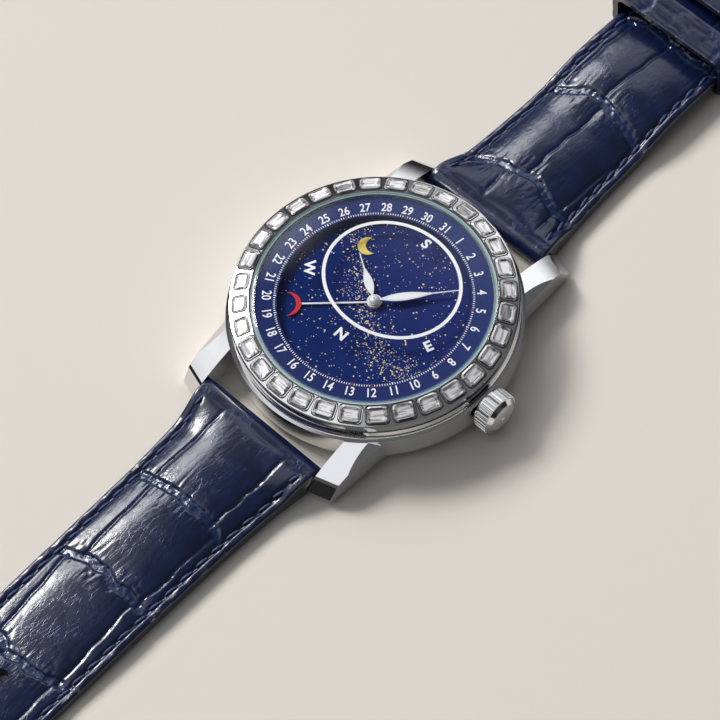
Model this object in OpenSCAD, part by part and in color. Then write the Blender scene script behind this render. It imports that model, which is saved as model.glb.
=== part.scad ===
// Round dress watch with a turning sky disc, a stone-set bezel and a padded leather strap.
// It lies open on its back: +Z through the glass, +Y to 12 o'clock, +X to the crown.
// The origin is the centre of the case back's outer face.

/* [Case] */
// Diameter of the case band
case_d = 42; // [41.6:0.1:43]
// Height of the band's lower edge above the resting face
band_z = 1.2; // [1.1:0.05:1.4]
// Height of the band
band_h = 4.7; // [4.6:0.05:5]
// Width of the chamfer round the band's upper edge
band_chamfer = 0.35; // [0.2:0.05:0.5]
// Thickness of the band's wall
band_wall = 3.65; // [3.55:0.05:3.7]
// Step from the band's edge in to the case back
back_step = 2.5; // [2:0.05:2.7]
// Diameter of the window in the case back
window_d = 26.3; // [24:0.1:28]
// Thickness of the window in the case back
window_h = 1.1; // [0.9:0.05:1.15]

/* [Lugs] */
// Gap between the lugs, which is the strap's nominal width
lug_gap = 22; // [20:0.5:22.5]
// Thickness of a lug at its root
lug_w = 4.2; // [3.6:0.1:4.6]
// Reach of the lug tips past the band
lug_reach = 4.4; // [4.2:0.1:6]
// Distance from the band's edge out to the spring bars
bar_reach = 2.7; // [2.5:0.05:2.8]
// Height of the spring bars above the resting face
bar_z = 2.15; // [2.1:0.05:2.3]
// Diameter of a spring bar
bar_d = 1.8; // [1.5:0.1:1.9]

/* [Bezel and glass] */
// Step from the band's edge in to the bezel
bezel_step = 0.65; // [0.5:0.05:0.75]
// Height of the bezel's inner rim above the band
bezel_h = 3.75; // [3.7:0.05:3.9]
// Number of stones in the bezel
stone_count = 32; // [24:1:34]
// Length of a stone along the rim
stone_l = 3; // [2:0.05:3.05]
// Width of a stone across the rim
stone_w = 2.1; // [1.6:0.05:2.2]
// Distance from the bezel's edge in to the stones' middles
stone_inset = 1.65; // [1.55:0.05:1.7]
// Fall of the stone-set face towards the rim, in degrees
bezel_slope = 20; // [16:1:22]
// Distance from the bezel's edge in to the watch glass
crystal_inset = 3.25; // [3.2:0.05:3.35]
// Thickness of the watch glass
crystal_h = 0.85; // [0.7:0.05:0.95]
// Rise of the watch glass from its rim to its middle
crystal_rise = 0.95; // [0.8:0.05:1.1]

/* [Crown] */
// Diameter of the crown
crown_d = 6.2; // [5.4:0.1:6.4]
// Length of the crown
crown_l = 3.1; // [2.9:0.1:3.6]
// Number of flutes round the crown
crown_flutes = 32; // [24:1:40]
// Height of the crown's axis above the resting face
stem_z = 3.7; // [3.65:0.05:3.75]
// Travel of the crown when it is pulled out
crown_pull = 1.2; // [0.9:0.1:1.2]

/* [Dial and hands] */
// Diameter of the opening in the date ring
sky_open_d = 27.1; // [26:0.1:27.4]
// Thickness of the date ring
dial_h = 0.5; // [0.4:0.05:0.6]
// Thickness of the sky disc
sky_h = 0.3; // [0.25:0.05:0.35]
// Length of the minute hand
minute_l = 12; // [10:0.1:12.4]
// Length of the hour hand
hour_l = 8.2; // [6.5:0.1:8.6]
// Width of the leaf of both hands
leaf_w = 1.3; // [0.9:0.05:1.5]
// Length of the date hand up to its crescent
date_l = 10.2; // [9.5:0.1:10.4]
// Clock angle of the minute hand
minute_at = 41; // [0:1:359]
// Clock angle of the hour hand
hour_at = 302; // [0:1:359]
// Clock angle of the date hand
date_at = 227; // [0:1:359]

/* [Movement] */
// Diameter of the mainplate
plate_d = 28.9; // [28.8:0.05:29]
// Thickness of the mainplate
plate_h = 1; // [0.9:0.05:1]
// Thickness of the bridges
bridge_h = 0.7; // [0.6:0.05:0.75]
// Teeth of the barrel
barrel_teeth = 75; // [72:1:76]
// Teeth of the pinion on the centre wheel
centre_leaves = 12; // [12:1:12]
// Teeth of the centre wheel
centre_teeth = 80; // [80:1:80]
// Teeth of the third wheel
third_teeth = 75; // [75:1:75]
// Teeth of the fourth wheel
fourth_teeth = 80; // [80:1:80]
// Teeth of the escape wheel
escape_teeth = 15; // [15:1:15]
// Diameter of the balance
balance_d = 8; // [7.4:0.1:8.1]
// Turns of the hairspring
hairspring_turns = 5; // [3:1:5]

/* [Strap] */
// Length of the long half from its spring bar to its tip
long_l = 112; // [100:1:125]
// Length of the long half's rounded tip
tip_l = 11; // [9:0.5:12]
// Length of the short half from its spring bar to the buckle's bar
short_l = 63; // [60:1:75]
// Width of the strap at the buckle
strap_end_w = 18; // [17:0.5:19]
// Thickness of the padded strap near the case
pad_h = 4.1; // [3.6:0.1:4.2]
// Thickness of the flat strap near its ends
strap_h = 2.3; // [2:0.1:2.6]
// Number of holes in the long half
hole_count = 7; // [5:1:9]
// Distance from one hole to the next
hole_pitch = 6.5; // [6:0.25:7]
// Width of the loose keeper
free_keeper_w = 5; // [4:0.1:6]
// Width of the fixed keeper
fixed_keeper_w = 5; // [4:0.5:6]
// Thickness of the keepers
keeper_h = 1.1; // [0.9:0.1:1.2]
// Free height above the strap inside the keepers, which the long half passes through
keeper_room = 1.9; // [1.6:0.1:2.5]

/* [Buckle] */
// Length of the buckle's frame in front of its bar
buckle_l = 11.5; // [10:0.5:14]
// Thickness of the buckle's frame
buckle_h = 2; // [1.8:0.1:2.4]
// Diameter of the buckle's bar
buckle_bar_d = 1.4; // [1.2:0.1:1.5]

/* [Hidden] */
$fn = 64;
eps = 0.01;

// Colours, as the finished pieces show
steel = "gainsboro";
dark_steel = "silver";
gold = "gold";
brass = "khaki";
navy = "midnightblue";

// Clearances
press_gap = 0.01;
seat_gap = 0.05;
run_gap = 0.04;
thread_gap = 0.1;
leather_gap = 0.3;

// Heights of the case, from the resting face upwards
case_r = case_d / 2;
bore_r = case_r - band_wall;
bezel_r = case_r - bezel_step;
stone_r = bezel_r - stone_inset;
crystal_r = bezel_r - crystal_inset;
bar_y = case_r + bar_reach;
band_top = band_z + band_h;
back_lip_h = 0.2;
back_neck_h = 1.4;
neck_top = band_z + back_neck_h;
rim_z = band_top + bezel_h;

// Heights of the movement, from the window upwards
cock_h = 0.45;
cock_z = window_h + 0.25;
bridge_z = cock_z + cock_h;
train_z = bridge_z + bridge_h;
plate_z = stem_z + 0.4;
plate_top = plate_z + plate_h;
plate_r = plate_d / 2;
recess_h = 0.5;
wheel_drop = 0.12;
wheel_lift = 0.06;
wheel_h = 0.2;
level_a = plate_z - 0.3;
level_b = plate_z - 0.8;
level_c = plate_z - 1.3;

// Heights of the dial side, from the mainplate upwards
motion_z = plate_top + 0.1;
module_z = plate_top + 1;
module_h = 0.4;
date_wheel_z = module_z + module_h + 0.1;
sky_wheel_z = date_wheel_z + wheel_h + 0.1;
sky_z = sky_wheel_z + wheel_h + 0.2;
sky_top = sky_z + sky_h;
dial_z = rim_z - 1.25;
dial_top = dial_z + dial_h;
hand_h = 0.14;
date_hand_z = sky_top + 0.2;
hour_hand_z = date_hand_z + 0.3;
minute_hand_z = hour_hand_z + 0.3;
cap_z = minute_hand_z + hand_h;

// Pipes round the centre, from the inside out
centre_arbor_r = 0.22;
cannon_r = 0.42;
pipe_wall = 0.15;
hour_pipe_r = cannon_r + run_gap + pipe_wall;
date_pipe_r = hour_pipe_r + run_gap + pipe_wall;
sky_pipe_r = date_pipe_r + run_gap + 0.25;

function polar(r, a) = [r * cos(a), r * sin(a)];
function clock(a) = 90 - a;

// Places of the wheels. Each gear pair's distance follows from its teeth.
barrel_m = 0.16;
centre_m = 0.12;
third_m = 0.1;
fourth_m = 0.09;
motion_m = 0.15;
hour_m = 0.12;
winding_m = 0.2;
third_leaves = 10;
fourth_leaves = 10;
escape_leaves = 8;
cannon_leaves = 12;
minute_teeth = 36;
minute_leaves = 12;
hour_teeth = 48;
crown_teeth = 20;
ratchet_teeth = 52;
winding_teeth = 15;
function pair(n1, n2, m) = (n1 + n2) * m / 2;
barrel_dir = 50;
third_dir = 185;
fourth_dir = -62;
escape_dir = -25;
balance_dir = -20;
minute_dir = 130;
barrel_at = polar(pair(barrel_teeth, centre_leaves, barrel_m), barrel_dir);
third_at = polar(pair(centre_teeth, third_leaves, centre_m), third_dir);
fourth_at = third_at + polar(pair(third_teeth, fourth_leaves, third_m), fourth_dir);
escape_at = fourth_at + polar(pair(fourth_teeth, escape_leaves, fourth_m), escape_dir);
escape_r = 2.1;
pallet_at = escape_at + polar(escape_r + 0.45, balance_dir);
balance_at = escape_at + polar(escape_r + 3.1, balance_dir);
balance_r = balance_d / 2;
minute_at_xy = polar(pair(cannon_leaves, minute_teeth, motion_m), minute_dir);
winding_dist = pair(crown_teeth, ratchet_teeth, winding_m);
crown_wheel_x = barrel_at[0] + sqrt(pow(winding_dist, 2) - pow(barrel_at[1], 2));
crown_wheel_at = [crown_wheel_x, 0];
ratchet_dir = atan2(barrel_at[1], barrel_at[0] - crown_wheel_x);
ratchet_r = ratchet_teeth * winding_m / 2;
crown_wheel_r = crown_teeth * winding_m / 2;
click_dir = 120;
click_r = 0.8;
click_reach = 1.45;
click_dist = ratchet_r + 1.25;
click_at = barrel_at + polar(click_dist, click_dir);
ratchet_tip_r = ratchet_r + 0.8 * winding_m;
click_beak_x = click_dist - sqrt(pow(ratchet_tip_r + 0.06, 2) - pow(click_reach, 2));

// Phase of a gear that meshes with one of n1 teeth and phase p1, along direction a
function mesh(a, n1, p1, n2) = a + 180 - (0.5 - (a - p1) * n1 / 360) * 360 / n2;
barrel_phase = 0;
centre_phase = mesh(barrel_dir + 180, barrel_teeth, barrel_phase, centre_leaves) + 360;
centre_wheel_phase = 0;
third_phase = mesh(third_dir, centre_teeth, centre_wheel_phase, third_leaves);
third_wheel_phase = 0;
fourth_phase = mesh(fourth_dir, third_teeth, third_wheel_phase, fourth_leaves);
fourth_wheel_phase = 0;
escape_phase = mesh(escape_dir, fourth_teeth, fourth_wheel_phase, escape_leaves);
minute_phase = mesh(minute_dir, cannon_leaves, 0, minute_teeth);
hour_phase = mesh(minute_dir + 180, minute_leaves, 0, hour_teeth);
crown_wheel_phase = 0;
ratchet_phase = mesh(ratchet_dir, crown_teeth, crown_wheel_phase, ratchet_teeth);

// Places of the screws: bridges from the back, clamps round the edge
post_r = 0.8;
barrel_posts = [[11.3, 7.2], [-5.5, 10.5], [6.2, -2.2]];
train_posts = [[-11.8, -3.5], [-6, -10.5], [-9.5, 5.5]];
cock_foot = [0.9, -12.4];
cock_foot_h = 0.3;
cock_reach = balance_at - cock_foot;
cock_dir = atan2(cock_reach[1], cock_reach[0]);
clamp_dirs = [140, 256, 340];
screw_head_r = 0.7;
screw_head_h = 0.35;
screw_r = 0.4;
clamp_h = 0.3;

// Hairspring and the stud that holds its outer end
hairspring_r = 0.64;
hairspring_pitch = 0.47;
hairspring_stud_r = 0.22;
stud_at_r = hairspring_r + hairspring_pitch * hairspring_turns;
stud_turn = asin((hairspring_stud_r + 0.03) / stud_at_r);

// Movement ring
ring_r = bore_r - seat_gap * 3;
ring_shelf_r = plate_r + (ring_r - plate_r) * 0.4;
ring_step_r = plate_r - 0.5;
sky_r = ring_step_r + 0.25;

// Crown and stem
stem_r = 0.55;
tube_r = 1.2;
tube_wall = 0.45;
tube_proud = 1;
crown_x = case_r + 0.15;
crown_cavity_r = 1.75;
winding_x = crown_wheel_x + crown_wheel_r - 0.4;
pinion_w = 0.9;
clutch_w = 1.3;
clutch_x = winding_x - seat_gap - clutch_w;
square_w = 0.78;
groove_x = winding_x + pinion_w + 0.45;
groove_w = 0.5;
groove_r = 0.3;
lever_l = 2.4;

// Strap
strap_top_w = lug_gap - 0.3;
loop_r = 1.75;
strap_bottom = 0.04;
keeper_y = 61.7;
keeper_travel = 6;
keeper_gap = leather_gap;
fixed_keeper_y = 69.3;
strap_lift = keeper_h + keeper_gap;
buckle_y = bar_y + short_l;
buckle_z = strap_lift + strap_h / 2;
hole_r = 1;
first_hole_y = 73;

// Gears and small parts shared by several pieces

// One gear's outline: straight-flanked teeth with room to run in each other
module gear_2d(n, m, phase = 0) {
  step = 360 / n;
  root = n * m / 2 - 1.15 * m;
  tip = n * m / 2 + 0.8 * m;
  shape = [[root, -0.27], [tip, -0.11], [tip, 0.11], [root, 0.27]];
  rotate(phase)
    polygon([for (i = [0:n - 1]) for (p = shape) polar(p[0], (i + p[1]) * step)]);
}

// The windows between a wheel's spokes
module windows_2d(inner, outer, spokes, spoke_w, phase = 0) {
  difference() {
    circle(outer);
    circle(inner);
    for (i = [0:spokes - 1])
      rotate(i * 360 / spokes + phase)
        translate([0, -spoke_w / 2])
          square([outer + 1, spoke_w]);
  }
}

// A spoked gear with its lower face at height z
module wheel(n, m, z, h, rim, hub, spokes, spoke_w, phase = 0) {
  root = n * m / 2 - 1.15 * m;
  translate([0, 0, z])
    linear_extrude(h)
      difference() {
        gear_2d(n, m, phase);
        windows_2d(hub, root - rim, spokes, spoke_w, phase);
      }
}

module at(p, z = 0) {
  translate([p[0], p[1], z])
    children();
}

module disc(r, z0, z1) {
  translate([0, 0, z0])
    cylinder(r = r, h = z1 - z0);
}

module tube(outer, inner, z0, z1) {
  difference() {
    disc(outer, z0, z1);
    disc(inner, z0 - 1, z1 + 1);
  }
}

// A train arbor: thicker between the frame plates, with a fine pivot at each end
pivot_r = 0.11;
module arbor(r, z0, z1, low = bridge_z + 0.15, high = plate_z + 0.3) {
  disc(r, z0, z1);
  disc(pivot_r, low, high);
}

// A slotted screw with its head's outer face at z, entering towards +Z
module screw(z, l, head_r = screw_head_r, r = screw_r) {
  difference() {
    union() {
      disc(head_r, z, z + screw_head_h);
      disc(r, z + screw_head_h - eps, z + screw_head_h + l);
    }
    translate([-head_r, -0.1, z - eps])
      cube([2 * head_r, 0.2, 0.14]);
  }
}

// Case

// One lug's side view: y outwards, z up. Its top is an arc and its end leans outwards.
lug_root_y = case_r - 8;
lug_tip_y = case_r + lug_reach;
lug_top_r = 24.5;
lug_top_z = band_top - 0.03;
lug_end_lean = 1.3;
lug_edge = 0.35;
lug_edge_h = 0.34;
lug_tail = 5;
function lug_top(y) = lug_top_z - lug_top_r + sqrt(pow(lug_top_r, 2) - pow(y - lug_root_y, 2));
module lug_side_2d() {
  end_y = lug_tip_y - lug_end_lean;
  edge_y = end_y - lug_edge;
  edge_z = lug_top(edge_y);
  intersection() {
    polygon([[lug_root_y - lug_tail, band_top], [edge_y - 2 * lug_edge, band_top],
             [edge_y - 2 * lug_edge, edge_z + 2 * lug_edge_h], [end_y, edge_z - lug_edge_h],
             [lug_tip_y, 1.25], [lug_tip_y - 0.1, 0.65], [lug_tip_y - 0.6, 0.35],
             [lug_tip_y - 3.9, 0.5], [lug_root_y + 4.5, band_z + 0.05],
             [lug_root_y - lug_tail, band_z + 0.05]]);
    translate([lug_root_y, lug_top_z - lug_top_r])
      circle(lug_top_r, $fn = 360);
  }
}

// One lug's plan: its inner face is flat and its outer face draws in towards the tip
lug_x = lug_gap / 2;
lug_tip_w = lug_w - 1.05;
module lug_plan_2d() {
  polygon([[lug_x, lug_root_y - 8], [lug_x + lug_w - 0.3, lug_root_y - 8],
           [lug_x + lug_w, lug_root_y], [lug_x + lug_tip_w, lug_tip_y + 0.2],
           [lug_x, lug_tip_y + 0.2]]);
}

// The long facet along a lug's outer edge: wide at the root, none at the tip
facet_w = 1.35;
facet_tilt = 38;
facet_turn = 5;
facet_fall = 5;
module lug_facet() {
  translate([lug_x + lug_w - facet_w, lug_root_y, lug_top(lug_root_y)])
    rotate([-facet_fall, 0, facet_turn])
      rotate([0, facet_tilt, 0])
        translate([-0.35, -4, 0])
          cube([6, lug_tip_y - lug_root_y + 3.6, 3]);
}

// The side view is turned in plan, so that a lug's end also faces a little sideways
lug_skew = 17;
module lug() {
  difference() {
    intersection() {
      translate([lug_x, lug_tip_y, 0])
        rotate(-lug_skew)
          translate([-2, -lug_tip_y, 0])
            rotate([90, 0, 90])
              linear_extrude(lug_w + 8)
                lug_side_2d();
      linear_extrude(band_top + 1)
        lug_plan_2d();
    }
    lug_facet();
  }
}

band_foot = 0.8;
module band_profile_2d() {
  polygon([[bore_r, band_z], [case_r - band_foot, band_z], [case_r, band_z + 0.7],
           [case_r, band_top - band_chamfer * 0.6], [case_r - band_chamfer, band_top],
           [bore_r, band_top]]);
}

bar_pin_r = 0.42;
bar_pin_l = 0.9;
bar_hole_r = bar_pin_r + run_gap;
module case_middle() {
  color(steel)
    difference() {
      union() {
        rotate_extrude($fn = 128)
          band_profile_2d();
        for (mx = [0, 1])
          for (my = [0, 1])
            mirror([mx, 0, 0])
              mirror([0, my, 0])
                lug();
      }
      disc(bore_r, 0, band_top + 1, $fn = 128);
      for (s = [-1, 1])
        translate([0, s * bar_y, bar_z])
          rotate([0, 90, 0])
            cylinder(r = bar_hole_r, h = lug_gap + 2 * bar_pin_l + 0.4, center = true);
      translate([bore_r - 2, 0, stem_z])
        rotate([0, 90, 0])
          cylinder(r = tube_r + press_gap, h = case_r);
    }
}

// Bezel. Its stone-set face is a cone about the case's axis.
inner_rim_r = crystal_r + 0.15;
face_in_r = inner_rim_r + 0.25;
bezel_wall_top = rim_z - (bezel_r - 0.15 - face_in_r) * tan(bezel_slope);
crystal_seat_z = rim_z - 0.7;
dial_r = inner_rim_r - 0.6;
ledge_r = dial_r + seat_gap * 2;
module bezel_profile_2d() {
  polygon([[bore_r, band_top], [bezel_r - 0.2, band_top], [bezel_r - 0.2, band_top + 0.22],
           [bezel_r - 0.02, band_top + 0.38], [bezel_r - 0.14, band_top + 1],
           [bezel_r - 0.1, bezel_wall_top - 0.5], [bezel_r, bezel_wall_top - 0.38],
           [bezel_r, bezel_wall_top - 0.12], [bezel_r - 0.15, bezel_wall_top],
           [face_in_r, rim_z], [inner_rim_r + 0.08, rim_z], [inner_rim_r, rim_z - 0.08],
           [inner_rim_r, crystal_seat_z], [ledge_r, crystal_seat_z], [ledge_r, dial_z + seat_gap],
           [bore_r, dial_z + seat_gap]]);
}

// Moves to stone i's place: +X outwards down the slope, +Z out of the face
stone_z = rim_z - (stone_r - face_in_r) * tan(bezel_slope);
module stone_place(i) {
  rotate(i * 360 / stone_count)
    translate([stone_r, 0, stone_z])
      rotate([0, bezel_slope, 0])
        children();
}

seat_wall = 0.13;
seat_proud = 0.1;
seat_depth = 0.85;
corner_cut = 0.4;
module cut_rect_2d(w, l, c) {
  polygon([[-w / 2 + c, -l / 2], [w / 2 - c, -l / 2], [w / 2, -l / 2 + c], [w / 2, l / 2 - c],
           [w / 2 - c, l / 2], [-w / 2 + c, l / 2], [-w / 2, l / 2 - c], [-w / 2, -l / 2 + c]]);
}

module bezel() {
  color(steel)
    difference() {
      union() {
        rotate_extrude($fn = 128)
          bezel_profile_2d();
        for (i = [0:stone_count - 1])
          stone_place(i)
            translate([0, 0, -0.3])
              linear_extrude(0.3 + seat_proud)
                cut_rect_2d(stone_w + 2 * seat_wall + 0.04, stone_l + 2 * seat_wall, corner_cut);
      }
      for (i = [0:stone_count - 1])
        stone_place(i)
          translate([0, 0, -seat_depth])
            linear_extrude(seat_depth + 1)
              cut_rect_2d(stone_w + 2 * press_gap, stone_l + 2 * press_gap, corner_cut);
    }
}

// One step-cut stone: rings of eight corners from the table down to the keel
function stone_ring(inset, z) =
  let (w = stone_w / 2 - inset, l = stone_l / 2 - inset, c = corner_cut * (1 - inset))
  [[-w + c, -l, z], [w - c, -l, z], [w, -l + c, z], [w, l - c, z],
   [w - c, l, z], [-w + c, l, z], [-w, l - c, z], [-w, -l + c, z]];
stone_rings = [stone_ring(0.75, -0.8), stone_ring(0.38, -0.5), stone_ring(0, -0.1),
               stone_ring(0, 0), stone_ring(0.17, 0.14), stone_ring(0.42, 0.25)];
module stone() {
  n = 8;
  last = len(stone_rings) - 1;
  polyhedron(
    points = [for (r = stone_rings) for (p = r) p],
    faces = concat(
      [[for (k = [0:n - 1]) k]],
      [for (j = [0:last - 1]) for (k = [0:n - 1])
         [j * n + k, (j + 1) * n + k, (j + 1) * n + (k + 1) % n, j * n + (k + 1) % n]],
      [[for (k = [0:n - 1]) last * n + n - 1 - k]]));
}

module bezel_stones() {
  color("aliceblue")
    for (i = [0:stone_count - 1])
      stone_place(i)
        stone();
}

// Glass: both faces are spheres, and the edge has a bevel
crystal_rim_h = 0.62;
crystal_flat = 0.5;
function dome_r(r, rise) = (r * r + rise * rise) / (2 * rise);
module dome_2d(r, z, rise) {
  big = dome_r(r, rise);
  intersection() {
    translate([0, z + rise - big])
      circle(big, $fn = 720);
    translate([0, z - 1])
      square([r, rise + 2]);
  }
}

module crystal() {
  under_r = crystal_r - crystal_flat;
  edge_z = crystal_seat_z + crystal_rim_h;
  color("lightcyan")
    rotate_extrude($fn = 128)
      difference() {
        union() {
          intersection() {
            dome_2d(crystal_r - 0.55, edge_z, crystal_rise);
            translate([0, crystal_seat_z])
              square([crystal_r, 4]);
          }
          polygon([[crystal_r - 1.2, crystal_seat_z], [crystal_r, crystal_seat_z],
                   [crystal_r, edge_z - 0.2], [crystal_r - 0.55, edge_z],
                   [crystal_r - 1.2, edge_z]]);
        }
        dome_2d(under_r, crystal_seat_z, crystal_rise + crystal_rim_h - crystal_h);
        translate([0, crystal_seat_z - 2])
          square([crystal_r, 2]);
      }
}

module crystal_gasket() {
  color("white")
    tube(inner_rim_r - press_gap, crystal_r + press_gap, crystal_seat_z, crystal_seat_z + 0.55, $fn = 128);
}

// Case back: flange with key notches, threaded neck and a lip over the window
back_r = case_r - back_step;
neck_r = bore_r - thread_gap;
neck_wall = 0.7;
window_r = window_d / 2;
gasket_r = (back_r + neck_r) / 2 - 0.1;
gasket_w = 0.5;
gasket_h = 0.4;
notch_count = 6;
module case_back() {
  color(steel)
    difference() {
      rotate_extrude($fn = 128)
        difference() {
          polygon([[window_r + seat_gap, 0], [back_r - 0.4, 0], [back_r, 0.4], [back_r, band_z],
                   [neck_r, band_z], [neck_r, neck_top], [neck_r - neck_wall, neck_top],
                   [neck_r - neck_wall, window_h + back_lip_h],
                   [window_r - 0.6, window_h + back_lip_h], [window_r - 0.6, window_h],
                   [window_r + seat_gap, window_h]]);
          translate([gasket_r - gasket_w / 2 - press_gap, band_z - gasket_h])
            square([gasket_w + 2 * press_gap, gasket_h + 1]);
        }
      for (i = [0:notch_count - 1])
        rotate(i * 360 / notch_count + 30)
          translate([back_r - 0.9, -1, -eps])
            cube([2, 2, 0.6]);
    }
}

module back_crystal() {
  color("lightcyan")
    disc(window_r, 0, window_h, $fn = 128);
}

module back_gasket() {
  color("dimgray")
    tube(gasket_r + gasket_w / 2, gasket_r - gasket_w / 2, band_z - gasket_h, band_z, $fn = 128);
}

// Everything on the crown's axis is drawn along +X
module on_stem(x) {
  translate([x, 0, stem_z])
    rotate([0, 90, 0])
      children();
}

module crown_tube() {
  color(dark_steel)
    on_stem(bore_r + 0.1)
      tube(tube_r, tube_r - tube_wall, 0, case_r + tube_proud - bore_r - 0.1);
}

crown_r = crown_d / 2;
crown_dome_r = 14;
crown_face_r = crown_r - 1.05;
flute_r = 0.19;
crown_end_h = 0.75;
module crown() {
  color(steel)
    on_stem(crown_x)
      difference() {
        intersection() {
          union() {
            difference() {
              disc(crown_r, 0.3, crown_l - crown_end_h);
              for (i = [0:crown_flutes - 1])
                rotate((i + 0.5) * 360 / crown_flutes)
                  translate([crown_r, 0, 0])
                    cylinder(r = flute_r, h = crown_l, $fn = 24);
            }
            disc(crown_r - 0.35, 0, 0.3 + eps);
            translate([0, 0, crown_l - crown_end_h - eps])
              cylinder(r1 = crown_r - 0.28, r2 = crown_face_r, h = crown_end_h + eps);
          }
          translate([0, 0, crown_l - crown_dome_r])
            sphere(crown_dome_r, $fn = 96);
          translate([0, 0, -eps])
            cylinder(r1 = crown_r + 1.5, r2 = crown_r - 0.5, h = crown_l + 2 * eps);
        }
        disc(crown_cavity_r, -1, tube_proud + 0.35);
        disc(stem_r + press_gap, 0, crown_l - 0.9);
      }
}

module crown_gasket() {
  ring_w = crown_cavity_r - tube_r - 2 * run_gap;
  color("dimgray")
    on_stem(crown_x + 0.35)
      rotate_extrude()
        translate([(crown_cavity_r + tube_r) / 2, 0])
          circle(ring_w / 2, $fn = 24);
}

module stem() {
  inner_x = clutch_x - 0.75;
  tip_x = crown_x + crown_l - 0.95;
  color(dark_steel)
    difference() {
      union() {
        on_stem(inner_x)
          cylinder(r = groove_r, h = 2);
        translate([clutch_x - 0.1, -square_w / 2, stem_z - square_w / 2])
          cube([winding_x - clutch_x + 0.2, square_w, square_w]);
        on_stem(winding_x - eps)
          cylinder(r = stem_r, h = tip_x - winding_x);
      }
      on_stem(groove_x - groove_w / 2)
        tube(stem_r + 1, groove_r, 0, groove_w);
    }
}

// Movement ring and clamps
module movement_ring() {
  color(brass)
    difference() {
      rotate_extrude($fn = 128)
        polygon([[ring_r, neck_top], [ring_r, dial_z], [sky_r + 0.15, dial_z],
                 [sky_r + 0.15, module_z], [ring_step_r, module_z], [ring_step_r, plate_top],
                 [plate_r + seat_gap, plate_top], [plate_r + seat_gap, plate_z],
                 [ring_shelf_r, plate_z], [ring_shelf_r, neck_top]]);
      on_stem(ring_step_r - 1)
        cylinder(r = stem_r + 0.2, h = ring_r);
    }
}

module casing_clamps() {
  color(dark_steel)
    for (a = clamp_dirs)
      rotate(a)
        difference() {
          translate([plate_r - 1.2, -0.9, plate_z - clamp_h])
            cube([ring_shelf_r - plate_r + 1.1, 1.8, clamp_h]);
          at([plate_r - 0.6, 0])
            disc(0.32, plate_z - 1, plate_z + 1);
        }
}

// A spring bar: thick sleeve between the strap's ends and a pin in each lug
module spring_bars() {
  color(dark_steel)
    for (s = [-1, 1])
      translate([0, s * bar_y, bar_z])
        rotate([0, 90, 0]) {
          cylinder(r = bar_d / 2, h = lug_gap - 0.6, center = true);
          cylinder(r = bar_pin_r, h = lug_gap + 2 * bar_pin_l, center = true);
        }
}

// Dial and hands
sky_open_r = sky_open_d / 2;
module date_dial() {
  color("navy")
    rotate_extrude($fn = 128)
      polygon([[sky_open_r, sky_top + 0.12], [sky_open_r + 0.35, sky_top + 0.12],
               [sky_open_r + 0.35, dial_z], [dial_r, dial_z], [dial_r, dial_top],
               [sky_open_r, dial_top]]);
}

module sky_disc() {
  color(navy)
    tube(sky_r, sky_pipe_r + press_gap, sky_z, sky_top, $fn = 128);
}

module sky_wheel() {
  color(brass) {
    difference() {
      union() {
        wheel(100, 0.11, sky_wheel_z, wheel_h, 0.7, sky_pipe_r + 0.8, 5, 0.8);
        disc(sky_pipe_r + 0.6, sky_wheel_z, sky_z);
        disc(sky_pipe_r, sky_wheel_z, sky_top + 0.08);
      }
      disc(date_pipe_r + run_gap, 0, sky_top + 1);
    }
  }
}

// A crescent with its back towards the centre, d out along +X
module crescent_2d(r, back_w, mouth) {
  difference() {
    circle(r);
    translate([mouth, 0])
      circle(r + mouth - back_w);
  }
}

moon_r = 1.45;
moon_at = polar(9.4, clock(311));
moon_turn = 48;
module moon() {
  color(gold)
    at(moon_at, sky_top)
      rotate(moon_turn)
        linear_extrude(0.08)
          crescent_2d(moon_r, 1.15, 1.0);
}

// One leaf hand along +X: neck, leaf that swells and narrows, and a fine point
function leaf_half(t, w) = w / 2 * pow(sin(180 * pow(t, 0.85)), 1.1) + 0.1;
module leaf_2d(l, leaf_from, leaf_to, w) {
  n = 16;
  span = leaf_to - leaf_from;
  upper = [for (i = [0:n]) [leaf_from + span * i / n, leaf_half(i / n, w - 0.2)]];
  polygon(concat([[0, 0.16]], upper, [[l, 0.07], [l, -0.07]],
                 [for (i = [n:-1:0]) [upper[i][0], -upper[i][1]]], [[0, -0.16]]));
}

module hand(l, z, angle, pipe_r, collet_r, collet_top) {
  rotate(clock(angle))
    difference() {
      union() {
        translate([0, 0, z])
          linear_extrude(hand_h)
            leaf_2d(l, collet_r, l * 0.68, leaf_w);
        disc(collet_r, z, collet_top);
      }
      disc(pipe_r, 0, collet_top + 1);
    }
}

collet_r = 1.05;
module hour_hand() {
  color("whitesmoke")
    hand(hour_l, hour_hand_z, hour_at, hour_pipe_r + press_gap, collet_r, hour_hand_z + hand_h);
}

module minute_hand() {
  color("whitesmoke")
    hand(minute_l, minute_hand_z, minute_at, cannon_r + press_gap, 0.85, minute_hand_z + hand_h);
}

crescent_r = 1.9;
module date_hand() {
  color("silver")
    rotate(clock(date_at))
      difference() {
        union() {
          translate([0, -0.13, date_hand_z])
            cube([date_l + 0.2, 0.26, hand_h]);
          disc(collet_r, date_hand_z, date_hand_z + hand_h);
          translate([date_l + crescent_r, 0, date_hand_z])
            linear_extrude(hand_h)
              crescent_2d(crescent_r, 0.72, 0.83);
        }
        disc(date_pipe_r + press_gap, 0, date_hand_z + 1);
      }
}

cap_h = 0.42;
module hand_cap() {
  cap_r = 0.78;
  color("whitesmoke")
    difference() {
      intersection() {
        disc(cap_r, cap_z, cap_z + cap_h);
        translate([0, 0, cap_z + cap_h - 1])
          sphere(1, $fn = 96);
      }
      disc(0.17, cap_z + 0.12, cap_z + 1, $fn = 32);
    }
}

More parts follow.
